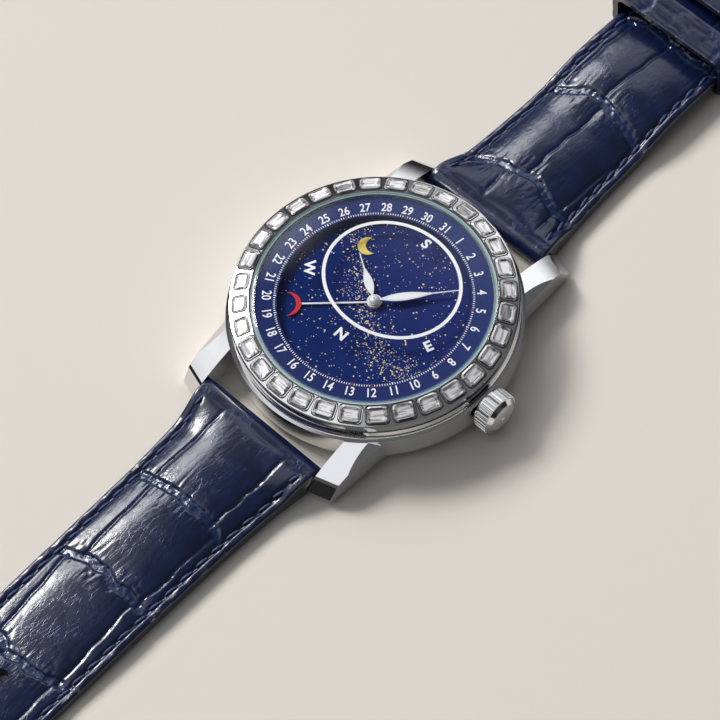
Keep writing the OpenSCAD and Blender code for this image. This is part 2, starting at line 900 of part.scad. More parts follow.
// Hand wheels on the dial side
module cannon_pinion() {
  color(dark_steel)
    difference() {
      union() {
        translate([0, 0, motion_z])
          linear_extrude(0.4)
            gear_2d(cannon_leaves, motion_m);
        disc(cannon_r, motion_z, cap_z);
      }
      disc(centre_arbor_r + run_gap, 0, cap_z - 0.1);
    }
}

module minute_wheel() {
  color(brass)
    at(minute_at_xy)
      difference() {
        union() {
          wheel(minute_teeth, motion_m, motion_z, wheel_h, 0.5, 0.9, 4, 0.5, minute_phase);
          translate([0, 0, motion_z + wheel_h - eps])
            linear_extrude(0.45)
              gear_2d(minute_leaves, hour_m);
        }
        disc(0.3, 0, module_z);
      }
}

hour_wheel_z = motion_z + 0.48;
module hour_wheel() {
  color(brass)
    difference() {
      union() {
        wheel(hour_teeth, hour_m, hour_wheel_z, wheel_h, 0.5, 1.1, 4, 0.5, hour_phase);
        disc(hour_pipe_r, hour_wheel_z, hour_hand_z + hand_h);
      }
      disc(cannon_r + run_gap, 0, cap_z);
    }
}

module date_wheel() {
  color(brass)
    difference() {
      union() {
        wheel(62, 0.13, date_wheel_z, wheel_h, 0.6, 1.5, 5, 0.6);
        disc(date_pipe_r, date_wheel_z, date_hand_z + hand_h);
      }
      disc(hour_pipe_r + run_gap, 0, cap_z);
    }
}

module module_plate() {
  color(brass)
    tube(sky_r + 0.1, date_pipe_r + 0.3, module_z, module_z + module_h, $fn = 128);
}

// Mainplate: jewel holes, a slot for the winding parts and a boss that guides the stem
jewel_r = 0.55;
boss_x = winding_x + pinion_w + 0.08;
boss_end = plate_r - 0.35;
stud_r = 0.26;
lever_post = [groove_x, -lever_l];
module mainplate() {
  color(brass)
    difference() {
      union() {
        disc(plate_r, plate_z, plate_top, $fn = 128);
        translate([boss_x, -1.5, stem_z - 0.7])
          cube([boss_end - boss_x, 3, plate_z - stem_z + 0.7 + eps]);
        for (p = concat(barrel_posts, train_posts))
          at(p)
            disc(post_r, train_z, plate_z + eps);
        at(cock_foot)
          disc(1.3, bridge_z + cock_foot_h, plate_z + eps);
        at(lever_post)
          disc(0.35, train_z + 0.1, plate_z + eps);
        at(minute_at_xy)
          disc(stud_r, plate_top - eps, motion_z + 0.75);
      }
      disc(centre_arbor_r + 0.05, 0, plate_top + 1);
      for (p = [third_at, fourth_at, escape_at, pallet_at, balance_at])
        at(p)
          disc(jewel_r + press_gap, plate_z - 1, plate_z + 0.5);
      at(barrel_at)
        disc(0.6 + run_gap, plate_z - 1, plate_top + 1);
      translate([clutch_x - 0.9, -1.15, plate_z - 2])
        cube([clutch_w + 1, 2.3, 4]);
      translate([winding_x - 0.06, -1.8, plate_z - 2])
        cube([pinion_w + 0.12, 3.6, 4]);
      on_stem(clutch_x - 1)
        cylinder(r = stem_r + run_gap, h = plate_r);
      translate([groove_x - groove_w, -0.6, stem_z - 2])
        cube([crown_pull + 2 * groove_w, 0.95, 2]);
      for (p = concat(barrel_posts, train_posts, [cock_foot]))
        at(p)
          disc(screw_r + press_gap, 0, plate_z + 0.5);
      for (a = clamp_dirs)
        rotate(a)
          at([plate_r - 0.6, 0])
            disc(0.31, 0, plate_z + 0.6);
    }
}

// Bridges. Each is a plate over part of the movement.
bridge_edge_r = plate_r - 0.25;
bridge_far = plate_r + 0.55;
module bridge_2d(points) {
  intersection() {
    circle(bridge_edge_r, $fn = 128);
    polygon(points);
  }
}

module jewel_bore(p) {
  at(p)
    disc(jewel_r + press_gap, 0, plate_z);
}

module screw_bore(p) {
  at(p) {
    disc(screw_r + 0.02, 0, plate_z);
    disc(screw_head_r + 0.05, 0, bridge_z + screw_head_h);
  }
}

barrel_arbor_r = 0.6;
arbor_square = 0.75;
module barrel_bridge() {
  recess_top = bridge_z + recess_h;
  color(dark_steel)
    difference() {
      translate([0, 0, bridge_z])
        linear_extrude(bridge_h)
          bridge_2d([[-2.2, -1.5], [3, -2], [6.6, -3.2], [9.4, -3], [bridge_far, -3],
                     [bridge_far, bridge_far], [-10.4, bridge_far],
                     [-10.4, 10.4], [-2.2, 2.6]]);
      at(barrel_at) {
        disc(ratchet_r + 0.35, 0, recess_top);
        disc(barrel_arbor_r + run_gap, 0, plate_z);
      }
      at(crown_wheel_at)
        disc(crown_wheel_r + 0.3, 0, recess_top);
      at(click_at)
        disc(2.1, 0, recess_top);
      translate([winding_x - 0.06, -1.2, bridge_z - 1])
        cube([pinion_w + 0.12, 2.4, 4]);
      jewel_bore([0, 0]);
      for (p = barrel_posts)
        screw_bore(p);
    }
}

module train_bridge() {
  color(dark_steel)
    difference() {
      translate([0, 0, bridge_z])
        linear_extrude(bridge_h)
          difference() {
            bridge_2d([[-2.5, 2.5], [-2.5, -1.8], [1.6, -2.3], [1.9, -4.4], [1.9, -8.6], [-1.6, -9.4],
                       [-3.2, -bridge_far], [-bridge_far, -bridge_far], [-bridge_far, 9], [-10.8, 10.2]]);
            at(balance_at)
              circle(balance_r + 0.4);
          }
      for (p = [third_at, fourth_at, escape_at])
        jewel_bore(p);
      for (p = train_posts)
        screw_bore(p);
    }
}

// Pallet bridge: a bar between two feet, across the line from escape wheel to balance
pallet_bridge_z = level_b - 0.55;
pallet_span = 1.95;
module pallet_bridge() {
  color(dark_steel)
    at(pallet_at)
      rotate(balance_dir + 90)
        difference() {
          union() {
            translate([-pallet_span, -0.4, pallet_bridge_z])
              cube([2 * pallet_span, 0.8, 0.25]);
            for (s = [-1, 1])
              translate([s * pallet_span, 0, 0])
                disc(0.5, pallet_bridge_z, plate_z);
          }
          disc(pivot_r + run_gap, 0, plate_z - 1);
        }
}

module balance_cock() {
  color(dark_steel)
    difference() {
      union() {
        at(cock_foot) {
          disc(1.7, cock_z, bridge_z + cock_foot_h);
          rotate(cock_dir)
            translate([0, -1.2, cock_z])
              cube([norm(cock_reach), 2.4, cock_h]);
        }
        at(balance_at)
          disc(1.5, cock_z, bridge_z);
        at(balance_at + polar(stud_at_r, cock_dir + 180 + stud_turn))
          disc(hairspring_stud_r, bridge_z - eps, bridge_z + 0.2);
      }
      jewel_bore(balance_at);
      at(cock_foot) {
        disc(screw_r + 0.02, 0, plate_z);
        disc(screw_head_r + 0.05, 0, cock_z + screw_head_h);
      }
    }
}

// Barrel with its teeth, cover and hooked spring
barrel_z = train_z + 0.1;
barrel_h = level_a - 0.15 - barrel_z;
barrel_r = barrel_teeth * barrel_m / 2 - 1.15 * barrel_m;
module barrel() {
  color(brass)
    at(barrel_at)
      difference() {
        union() {
          disc(barrel_r - 0.15, barrel_z, barrel_z + barrel_h);
          translate([0, 0, barrel_z + 0.35])
            linear_extrude(0.35)
              gear_2d(barrel_teeth, barrel_m, barrel_phase);
        }
        disc(barrel_r - 0.45, barrel_z + 0.18, barrel_z + barrel_h - 0.15);
        disc(barrel_arbor_r + run_gap, 0, plate_z);
      }
}

// A flat spiral strip of even pitch, from radius r0 over a number of turns
module spiral_2d(r0, pitch, turns, w) {
  n = turns * 20;
  function radius(i) = r0 + pitch * turns * i / n;
  polygon(concat([for (i = [0:n]) polar(radius(i) - w / 2, i * 18)],
                 [for (i = [n:-1:0]) polar(radius(i) + w / 2, i * 18)]));
}

module mainspring() {
  turns = 8;
  from = barrel_arbor_r + 0.45;
  pitch = (barrel_r - 0.6 - from) / turns;
  color("slategray")
    at(barrel_at, barrel_z + 0.22)
      linear_extrude(barrel_h - 0.42)
        spiral_2d(from, pitch, turns, 0.1);
}

module barrel_arbor() {
  color(dark_steel)
    at(barrel_at)
      difference() {
        union() {
          disc(barrel_arbor_r, bridge_z + recess_h - wheel_lift, plate_top);
          disc(barrel_arbor_r + 0.35, barrel_z + 0.25, barrel_z + barrel_h - 0.22);
          translate([-arbor_square / 2, -arbor_square / 2, bridge_z + wheel_drop])
            cube([arbor_square, arbor_square, recess_h]);
        }
        disc(0.25 + press_gap, 0, train_z + 0.3);
      }
}

module ratchet_wheel() {
  hole = arbor_square + 2 * press_gap;
  color(dark_steel)
    at(barrel_at)
      difference() {
        translate([0, 0, bridge_z + wheel_drop])
          linear_extrude(recess_h - wheel_drop - wheel_lift)
            gear_2d(ratchet_teeth, winding_m, ratchet_phase);
        translate([-hole / 2, -hole / 2, 0])
          cube([hole, hole, 5]);
      }
}

module ratchet_screw() {
  color("royalblue")
    at(barrel_at)
      screw(bridge_z + wheel_drop - screw_head_h, 0.8, 0.9, 0.25);
}

module click() {
  color(dark_steel)
    at(click_at, bridge_z + wheel_drop)
      rotate(click_dir + 180)
        linear_extrude(0.3)
          difference() {
            union() {
              circle(click_r);
              polygon([[0.5, -0.3], [click_beak_x, click_reach], [click_beak_x - 0.27, click_reach + 0.15],
                       [-0.2, click_reach - 0.25], [-0.7, 0.3]]);
            }
            circle(screw_r + run_gap);
          }
}

module crown_wheel() {
  color(dark_steel)
    at(crown_wheel_at)
      difference() {
        translate([0, 0, bridge_z + wheel_drop])
          linear_extrude(recess_h - wheel_drop - wheel_lift)
            gear_2d(crown_teeth, winding_m, crown_wheel_phase);
        disc(screw_r + run_gap, 0, 5);
      }
}

// Winding parts on the stem
winding_pinion_m = (stem_z - bridge_z - recess_h + wheel_lift - run_gap) * 2 / (winding_teeth + 1.6);
module winding_pinion() {
  color(dark_steel)
    on_stem(winding_x)
      difference() {
        linear_extrude(pinion_w)
          gear_2d(winding_teeth, winding_pinion_m, 12);
        disc(stem_r + run_gap, -1, 2);
      }
}

module clutch_wheel() {
  hole = square_w + 2 * run_gap;
  color(dark_steel)
    on_stem(clutch_x)
      difference() {
        union() {
          linear_extrude(0.35)
            gear_2d(12, 0.13, 0);
          disc(0.6, 0.35 - eps, 0.75);
          disc(0.9, 0.75 - eps, clutch_w);
        }
        translate([-hole / 2, -hole / 2, -1])
          cube([hole, hole, 4]);
      }
}

module setting_lever() {
  z = train_z + 0.18;
  color(dark_steel)
    difference() {
      union() {
        at(lever_post)
          disc(0.75, z, z + 0.25);
        translate([groove_x - 0.35, -lever_l, z])
          cube([0.7, lever_l, 0.25]);
        at([groove_x, 0])
          disc(0.35, z, z + 0.25);
        at([groove_x, 0])
          disc(0.15, z, stem_z - groove_r - run_gap);
      }
      at(lever_post)
        disc(0.35 + run_gap, 0, 5);
    }
}

// Going train
module centre_wheel() {
  color(brass) {
    wheel(centre_teeth, centre_m, level_a, 0.18, 0.45, 1.2, 5, 0.5, centre_wheel_phase);
    translate([0, 0, barrel_z + 0.2])
      linear_extrude(level_a - barrel_z - 0.2 + eps)
        gear_2d(centre_leaves, barrel_m, centre_phase);
    arbor(centre_arbor_r, train_z - 0.2, cap_z - 0.2, bridge_z + 0.15, plate_z);
  }
}

module third_wheel() {
  color(brass)
    at(third_at) {
      wheel(third_teeth, third_m, level_b, wheel_h, 0.35, 0.8, 5, 0.4, third_wheel_phase);
      translate([0, 0, level_b])
        linear_extrude(plate_z - 0.05 - level_b)
          gear_2d(third_leaves, centre_m, third_phase);
      arbor(0.25, train_z - 0.2, plate_z - 0.02);
    }
}

module fourth_wheel() {
  color(brass)
    at(fourth_at) {
      wheel(fourth_teeth, fourth_m, level_c, wheel_h, 0.35, 0.7, 5, 0.35, fourth_wheel_phase);
      translate([0, 0, level_c])
        linear_extrude(0.75)
          gear_2d(fourth_leaves, third_m, fourth_phase);
      arbor(0.2, train_z - 0.2, plate_z - 0.02);
    }
}

// Escape wheel: club teeth that lean forwards
module escape_wheel() {
  step = 360 / escape_teeth;
  tooth = [[escape_r - 0.5, -0.2], [escape_r - 0.42, 0.1], [escape_r, 0.32], [escape_r - 0.07, 0.44],
           [escape_r - 0.5, 0.3]];
  color(brass)
    at(escape_at) {
      translate([0, 0, level_b])
        linear_extrude(wheel_h)
          difference() {
            polygon([for (i = [0:escape_teeth - 1]) for (p = tooth) polar(p[0], (i + p[1]) * step)]);
            windows_2d(0.6, escape_r - 0.75, 4, 0.25);
          }
      translate([0, 0, level_c - 0.05])
        linear_extrude(level_b - level_c + 0.1)
          gear_2d(escape_leaves, fourth_m, escape_phase);
      arbor(0.16, train_z - 0.2, plate_z - 0.02);
    }
}

// Pallet fork: two arms round the escape wheel, a lever and a horned fork
module pallet_fork() {
  arm = 1.25;
  lever = 2;
  color(dark_steel)
    at(pallet_at) {
      rotate(balance_dir)
        translate([0, 0, level_b])
          linear_extrude(wheel_h)
            difference() {
              union() {
                circle(0.38);
                translate([0, -0.13])
                  square([lever, 0.26]);
                translate([lever - 0.15, -0.3])
                  square([0.42, 0.6]);
                for (s = [-1, 1])
                  rotate(180 - s * 68)
                    translate([0, -0.14])
                      square([arm, 0.28]);
              }
              translate([lever, -0.11])
                square([1, 0.22]);
            }
      arbor(0.16, pallet_bridge_z + 0.3, plate_z - 0.02, pallet_bridge_z + 0.05);
    }
}

// Balance: rim, two arms, staff and roller with its pin
module balance_wheel() {
  z = bridge_z + 0.3;
  color(gold)
    at(balance_at) {
      translate([0, 0, z])
        linear_extrude(0.4)
          difference() {
            circle(balance_r);
            windows_2d(0.6, balance_r - 0.55, 2, 0.55, balance_dir + 90);
          }
      arbor(0.2, bridge_z + 0.03, plate_z - 0.02, cock_z + 0.15);
      disc(0.57, bridge_z + 0.04, bridge_z + 0.3);
      disc(0.6, level_b - 0.2, level_b - 0.05);
      at(polar(0.42, balance_dir + 180))
        disc(0.08, level_b - 0.1, level_b - run_gap / 2, $fn = 24);
    }
}

// The hairspring starts beside the balance's collet and ends beside the cock's stud
module hairspring() {
  color("steelblue")
    at(balance_at, bridge_z + 0.06)
      rotate(cock_dir + 180)
        linear_extrude(0.12)
          spiral_2d(hairspring_r, hairspring_pitch, hairspring_turns, 0.05);
}

// Jewels in bridges, cock and mainplate
module jewel(z, h) {
  tube(jewel_r, pivot_r + 0.03, z, z + h);
}

module jewels() {
  color("crimson") {
    for (p = [[0, 0], third_at, fourth_at, escape_at])
      at(p)
        jewel(bridge_z + 0.12, 0.3);
    at(balance_at)
      jewel(cock_z + 0.08, cock_h - 0.12);
    for (p = [third_at, fourth_at, escape_at, pallet_at, balance_at])
      at(p)
        jewel(plate_z + 0.02, 0.4);
  }
}

module movement_screws() {
  color("royalblue") {
    for (p = concat(barrel_posts, train_posts))
      at(p)
        screw(bridge_z, train_z - bridge_z + 1);
    at(cock_foot)
      screw(cock_z, 2);
    for (a = clamp_dirs)
      rotate(a)
        at([plate_r - 0.6, 0])
          screw(plate_z - clamp_h - screw_head_h, clamp_h + 0.4, 0.55, 0.3);
    at(crown_wheel_at)
      screw(bridge_z + wheel_drop - screw_head_h - run_gap, recess_h - wheel_drop + run_gap, 0.9);
    at(click_at)
      screw(bridge_z + wheel_drop - screw_head_h - run_gap, recess_h - wheel_drop + run_gap, 0.65);
  }
}

// Strap

// Half the strap's width and its heights, at distance y from the centre
taper_l = 8;
pad_from = 33;
lift_from = 42;
lift_l = 11;
function ease(t) = let (u = max(0, min(1, t))) u * u * (3 - 2 * u);
strap_far_w = strap_end_w + 0.6;
function half_w(y) = strap_far_w / 2
  + (strap_top_w - strap_far_w) / 2 * exp(-max(0, y - bar_y - 1) / taper_l);
function top_h(y) = strap_h + (pad_h - strap_h) * (1 - ease((y - pad_from) / 40));

// One section across the strap: flat below, stitched edges of height edge and a crowned middle
function section(y, half, low, high, edge) =
  let (h = high - low, rim = low + edge, rise = high - rim, seam = half - 1.8, over = seam - 1.6)
  [[-half + 0.3, y, low], [half - 0.3, y, low], [half, y, low + edge * 0.2],
   [half, y, rim - edge * 0.15], [half - 0.35, y, rim], [seam, y, rim + rise * 0.12],
   [over, y, rim + rise * 0.68], [half * 0.45, y, high - rise * 0.1], [0, y, high],
   [-half * 0.45, y, high - rise * 0.1], [-over, y, rim + rise * 0.68],
   [-seam, y, rim + rise * 0.12], [-half + 0.35, y, rim], [-half, y, rim - edge * 0.15],
   [-half, y, low + edge * 0.2]];

// The strap's edge is full height at its bar and thins to the stitched edge over the pad
stitch_edge_h = 2;
function edge_h(y, high) = let (t = ease((y - bar_y - 1) / 6))
  min(high - 0.15, high * 0.93 * (1 - t) + min(stitch_edge_h, high * 0.88) * t);

module loft(sections) {
  n = len(sections[0]);
  last = len(sections) - 1;
  polyhedron(
    points = [for (s = sections) for (p = s) p],
    faces = concat(
      [[for (k = [0:n - 1]) k]],
      [for (j = [0:last - 1]) for (k = [0:n - 1]) for (side = [0, 1])
         side == 0 ? [j * n + k, (j + 1) * n + k, (j + 1) * n + (k + 1) % n]
                   : [j * n + k, (j + 1) * n + (k + 1) % n, j * n + (k + 1) % n]],
      [[for (k = [0:n - 1]) last * n + n - 1 - k]]));
}

// The loop round a bar: low and high edge of its round nose at distance d past the bar
function nose(z, r, d) = let (h = sqrt(max(0.04, r * r - d * d))) [z - h, z + h];
nose_steps = [0.97, 0.85, 0.6, 0.3, 0];
function lug_end(w) = [for (t = nose_steps)
  let (d = loop_r * t, e = nose(bar_z, loop_r, d), h = e[1] - e[0])
  section(bar_y - d, w, e[0], e[1], h * 0.93)];

function body_sections(from, to, step, lift) =
  [for (y = [from:step:to + eps])
     let (low = strap_bottom + lift * ease((y - lift_from) / lift_l), h = top_h(y))
     section(y, half_w(y), low, low + h, edge_h(y, h))];

module bar_bore(y, z, r) {
  translate([0, y, z])
    rotate([0, 90, 0])
      cylinder(r = r, h = 2 * lug_gap, center = true);
}

buckle_loop_r = strap_h / 2 + 0.1;
module strap_short() {
  end_y = buckle_y - 3;
  body = body_sections(bar_y + 2.3, end_y, (end_y - bar_y - 2.3) / 16, strap_lift);
  half_end = half_w(end_y);
  end = [for (t = [0, 0.5, 0.85, 0.97])
           let (d = buckle_loop_r * t, e = nose(buckle_z, buckle_loop_r, d), h = e[1] - e[0])
           section(buckle_y + d, half_end, e[0], e[1], h * 0.9)];
  color(navy)
    difference() {
      loft(concat(lug_end(half_w(bar_y)), body, end));
      bar_bore(bar_y, bar_z, bar_d / 2 + run_gap);
      bar_bore(buckle_y, buckle_z, buckle_bar_d / 2 + run_gap);
      translate([-tongue_w / 2 - 0.4, buckle_y - 2.4, 0])
        cube([tongue_w + 0.8, 6, 8]);
    }
}

module strap_long() {
  tip_y = bar_y + long_l;
  round_from = tip_y - tip_l;
  body = body_sections(bar_y + 2.3, round_from, (round_from - bar_y - 2.3) / 20, 0);
  tip = [for (t = [0.35, 0.6, 0.8, 0.92, 1])
           let (y = round_from + tip_l * t, w = half_w(y) * sqrt(1 - pow(t * 0.96, 2.4)),
                h = strap_h * (1 - 0.2 * t))
           section(y, w, strap_bottom, strap_bottom + h, min(stitch_edge_h, h * 0.88))];
  color(navy)
    mirror([0, 1, 0])
      difference() {
        loft(concat(lug_end(half_w(bar_y)), body, tip));
        bar_bore(bar_y, bar_z, bar_d / 2 + run_gap);
        for (i = [0:hole_count - 1])
          at([0, first_hole_y + i * hole_pitch])
            disc(hole_r, -1, pad_h + 1, $fn = 32);
      }
}

// A keeper: a flat loop with rounded corners round the strap. Its bottom clears the resting face.
module keeper(y, w, side_gap) {
  half = half_w(y) + side_gap;
  low = strap_lift - keeper_gap;
  high = strap_lift + top_h(y - keeper_travel) + keeper_room;
  translate([0, y + w, 0])
    rotate([90, 0, 0])
      linear_extrude(w)
        difference() {
          keeper_2d(half + keeper_h, low - keeper_h, high + keeper_h * 0.9, 1.5, 2.3);
          keeper_2d(half, low, high, 0.4, 1.2);
        }
}

module keeper_2d(half, low, high, r, top_r) {
  for (s = [-1, 1]) {
    translate([s * (half - r), low + r])
      circle(r);
    translate([s * (half - top_r), high - top_r])
      circle(top_r);
  }
  translate([-half + r, low])
    square([2 * (half - r), 2 * r]);
  translate([-half + top_r, low + r])
    square([2 * (half - top_r), high - low - r]);
  translate([-half, low + r])
    square([2 * half, high - low - r - top_r]);
}

module free_keeper() {
  color(navy)
    keeper(keeper_y, free_keeper_w, keeper_gap);
}

module fixed_keeper() {
  color(navy)
    keeper(fixed_keeper_y, fixed_keeper_w, press_gap);
}

// Buckle: two arms from the bar to a thicker front, which the tongue rests on
arm_w = 2;
front_w = 2.8;
arm_gap = 0.25;
tongue_w = 2;
module buckle_frame() {
  inner = half_w(buckle_y) + arm_gap;
  outer = inner + arm_w;
  color(steel)
    difference() {
      translate([0, buckle_y, buckle_z])
        intersection() {
          linear_extrude(buckle_h + 4, center = true)
            difference() {
              union() {
                translate([-outer, -1.6])
                  square([2 * outer, buckle_l - 1]);
                for (s = [-1, 1])
                  translate([s * (outer - 2.5), buckle_l - 2.6])
                    circle(2.5);
                translate([-outer + 2.5, 0])
                  square([2 * outer - 5, buckle_l - 0.1]);
              }
              translate([-inner, -3])
                square([2 * inner, buckle_l + 3 - front_w]);
            }
          rotate([90, 0, 90])
            linear_extrude(2 * outer + 2, center = true)
              polygon([[-1.6, -0.6], [-1.1, -buckle_h / 2], [buckle_l - 4, -buckle_h / 2],
                       [buckle_l - 0.9, -buckle_h / 2 + 0.1], [buckle_l, 0.3],
                       [buckle_l - 0.6, buckle_h / 2 + 0.35], [buckle_l - 1.6, buckle_h / 2 + 0.6],
                       [buckle_l - 3, buckle_h / 2 + 0.3], [buckle_l - 5, buckle_h / 2],
                       [-1.1, buckle_h / 2], [-1.6, 0.6]]);
        }
      bar_bore(buckle_y, buckle_z, 0.5 + press_gap);
      translate([-tongue_w / 2 - 0.1, buckle_y + buckle_l - front_w - 1, buckle_z + buckle_h / 2 + 0.1])
        cube([tongue_w + 0.2, front_w + 2, 2]);
    }
}

module buckle_bar() {
  half = half_w(buckle_y);
  color(dark_steel)
    translate([0, buckle_y, buckle_z])
      rotate([0, 90, 0]) {
        cylinder(r = buckle_bar_d / 2, h = 2 * half, center = true);
        cylinder(r = 0.5, h = 2 * (half + arm_gap + arm_w - 0.3), center = true);
      }
}

// Tongue: an eye round the bar and a slim rod that lies on the buckle's front
module buckle_tongue() {
  eye_r = buckle_bar_d / 2 + 0.5;
  reach = buckle_l - 0.7;
  color(steel)
    translate([0, buckle_y, buckle_z])
      difference() {
        union() {
          rotate([0, 90, 0])
            cylinder(r = eye_r, h = tongue_w, center = true);
          rotate([90, 0, 90])
            linear_extrude(tongue_w, center = true)
              polygon([[0, eye_r - 0.75], [0, eye_r], [buckle_l - 4.5, buckle_h / 2 + 0.9],
                       [reach - 0.5, buckle_h / 2 + 0.95], [reach, buckle_h / 2 + 0.6],
                       [reach, buckle_h / 2 + 0.15], [buckle_l - 5, buckle_h / 2 + 0.15]]);
        }
        rotate([0, 90, 0])
          cylinder(r = buckle_bar_d / 2 + run_gap, h = 5, center = true);
      }
}

case_middle();
bezel();
bezel_stones();
crystal();
crystal_gasket();
case_back();
back_crystal();
back_gasket();
crown_tube();
crown();
crown_gasket();
movement_ring();
casing_clamps();
spring_bars();
date_dial();
sky_disc();
sky_wheel();
moon();
date_hand();
hour_hand();
minute_hand();
hand_cap();
date_wheel();
hour_wheel();
cannon_pinion();
minute_wheel();
module_plate();
mainplate();
barrel_bridge();
train_bridge();
pallet_bridge();
balance_cock();
barrel();
mainspring();
barrel_arbor();
ratchet_wheel();
ratchet_screw();
click();
crown_wheel();
winding_pinion();
clutch_wheel();
stem();
setting_lever();
centre_wheel();
third_wheel();
fourth_wheel();
escape_wheel();
pallet_fork();
balance_wheel();
hairspring();
jewels();
movement_screws();
strap_short();
strap_long();
fixed_keeper();
free_keeper();
buckle_frame();
buckle_bar();
buckle_tongue();
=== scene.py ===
"""Looks of the watch: leather, metal, glass, dial printing, floor, light and camera.

Everything is worked out in millimetres in the part's own frame (+Z out through the glass,
+Y to 12 o'clock, +X to the crown) and written to Blender in metres.
"""
import math

import bpy
import numpy as np
from mathutils import Euler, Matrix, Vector


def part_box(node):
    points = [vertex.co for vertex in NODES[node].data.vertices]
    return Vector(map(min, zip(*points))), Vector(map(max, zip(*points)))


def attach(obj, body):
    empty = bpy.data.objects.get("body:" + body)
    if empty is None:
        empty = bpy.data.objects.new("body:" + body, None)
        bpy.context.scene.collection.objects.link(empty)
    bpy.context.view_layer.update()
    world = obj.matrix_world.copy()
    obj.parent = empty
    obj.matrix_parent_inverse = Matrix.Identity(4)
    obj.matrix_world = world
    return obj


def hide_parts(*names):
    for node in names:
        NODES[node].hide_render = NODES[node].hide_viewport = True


MM = 0.001

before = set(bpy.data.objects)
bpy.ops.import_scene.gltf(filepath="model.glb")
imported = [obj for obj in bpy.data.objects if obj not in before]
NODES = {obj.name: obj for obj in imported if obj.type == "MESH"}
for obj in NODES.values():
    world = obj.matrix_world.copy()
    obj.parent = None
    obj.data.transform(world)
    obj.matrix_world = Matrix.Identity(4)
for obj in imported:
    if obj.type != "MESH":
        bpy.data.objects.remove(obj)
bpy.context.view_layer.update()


def box_mm(node):
    """Lowest and highest corner of a CAD node, in millimetres."""
    low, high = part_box(node)
    return np.array(low) / MM, np.array(high) / MM


# Camera, as the photograph was taken

CAMERA_AT = (184.43, -160.23, 414.93)
CAMERA_TURN = (29.850, 3.499, 43.641)
CAMERA_LENS = 170.68
CAMERA_SENSOR = 36.0
# In metres
CAMERA_NEAR = 0.01
CAMERA_FAR = 20


def new_object(name, data):
    item = bpy.data.objects.new(name, data)
    bpy.context.scene.collection.objects.link(item)
    return item


def make_camera():
    data = bpy.data.cameras.new("camera")
    data.lens = CAMERA_LENS
    data.sensor_width = CAMERA_SENSOR
    data.clip_start = CAMERA_NEAR
    data.clip_end = CAMERA_FAR
    camera = new_object("camera", data)
    camera.location = Vector(CAMERA_AT) * MM
    camera.rotation_euler = Euler([math.radians(a) for a in CAMERA_TURN], "XYZ")
    bpy.context.scene.camera = camera


# Meshes

class Shape:
    """Points in millimetres, faces and named values, gathered from several parts."""

    def __init__(self):
        self.points = []
        self.faces = []
        self.values = {}

    def add(self, points, faces, **values):
        start = sum(len(p) for p in self.points)
        points = np.asarray(points, float)
        self.points.append(points)
        self.faces += [[start + i for i in face] for face in faces]
        for name, value in values.items():
            data = np.broadcast_to(np.asarray(value, float), (len(points),))
            self.values.setdefault(name, []).append(data)
        return self

    def mesh(self, name):
        mesh = bpy.data.meshes.new(name)
        mesh.from_pydata((np.concatenate(self.points) * MM).tolist(), [], self.faces)
        return mesh

    def piece(self, name, material, body, slot, replaces=(), sharp=35.0):
        mesh = self.mesh(name)
        for key, parts in self.values.items():
            layer = mesh.attributes.new(key, "FLOAT", "POINT")
            layer.data.foreach_set("value", np.concatenate(parts).astype(np.float32))
        mesh.validate()
        mesh.shade_smooth()
        mesh.set_sharp_from_angle(angle=math.radians(sharp))
        piece = new_object(name, mesh)
        mesh.materials.append(material)
        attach(piece, body)
        if replaces:
            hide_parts(*replaces)
        return piece


def tube_faces(rows, columns, ring=False):
    """Quads between closed rows of points; a ring also joins its last row to its first."""
    return [(r * columns + c, r * columns + (c + 1) % columns,
             (r + 1) % rows * columns + (c + 1) % columns, (r + 1) % rows * columns + c)
            for r in range(rows if ring else rows - 1) for c in range(columns)]


def solid_faces(rows, columns):
    """The faces of a tube with both its ends closed."""
    last = (rows - 1) * columns
    return tube_faces(rows, columns) + [list(range(columns))[::-1],
                                        list(range(last, last + columns))]


def plate(outline, z0, z1):
    """A closed plate over an outline in plan."""
    outline = np.asarray(outline, float)
    n = len(outline)
    return np.concatenate([np.column_stack([outline, np.full(n, z)]) for z in (z0, z1)]), \
        solid_faces(2, n)


def band(inner, outer, z0, z1):
    """A closed ring between two outlines, whose points carry a height of their own."""
    rows = [np.column_stack([line[:, :2], inner[:, 2] + z])
            for line, z in ((inner, z0), (outer, z0), (outer, z1), (inner, z1))]
    return np.concatenate(rows), tube_faces(4, len(inner), ring=True)


def oblong(half, low, high):
    return [(-half, low), (half, low), (half, high), (-half, high)]


def mirrored(side):
    """A closed outline, from its right side."""
    return np.concatenate([side, side[::-1] * (-1, 1)])


def circle(radius, count):
    angle = np.arange(count) * math.tau / count
    return np.column_stack([radius * np.cos(angle), radius * np.sin(angle)])


def circle_point(angle, radius):
    return np.array([radius * math.cos(angle), radius * math.sin(angle)])


def clock_point(radius, angle):
    """A point at a clock angle: degrees clockwise from 12 o'clock."""
    return circle_point(math.radians(90 - angle), radius)


def unit(steps):
    return steps / np.linalg.norm(steps, axis=1)[:, None]


def run_of(line):
    """Distance along a line at each of its points."""
    return np.concatenate([[0], np.cumsum(np.linalg.norm(np.diff(line, axis=0), axis=1))])


def point_on(line, run, at):
    return np.column_stack([np.interp(at, run, line[:, i]) for i in (0, 1)])


def turn(points, angle):
    """Plan points turned clockwise by a clock angle."""
    a = math.radians(-angle)
    c, s = math.cos(a), math.sin(a)
    points = np.array(points, float)
    points[:, :2] = points[:, :2] @ np.array([[c, s], [-s, c]])
    return points


# Materials

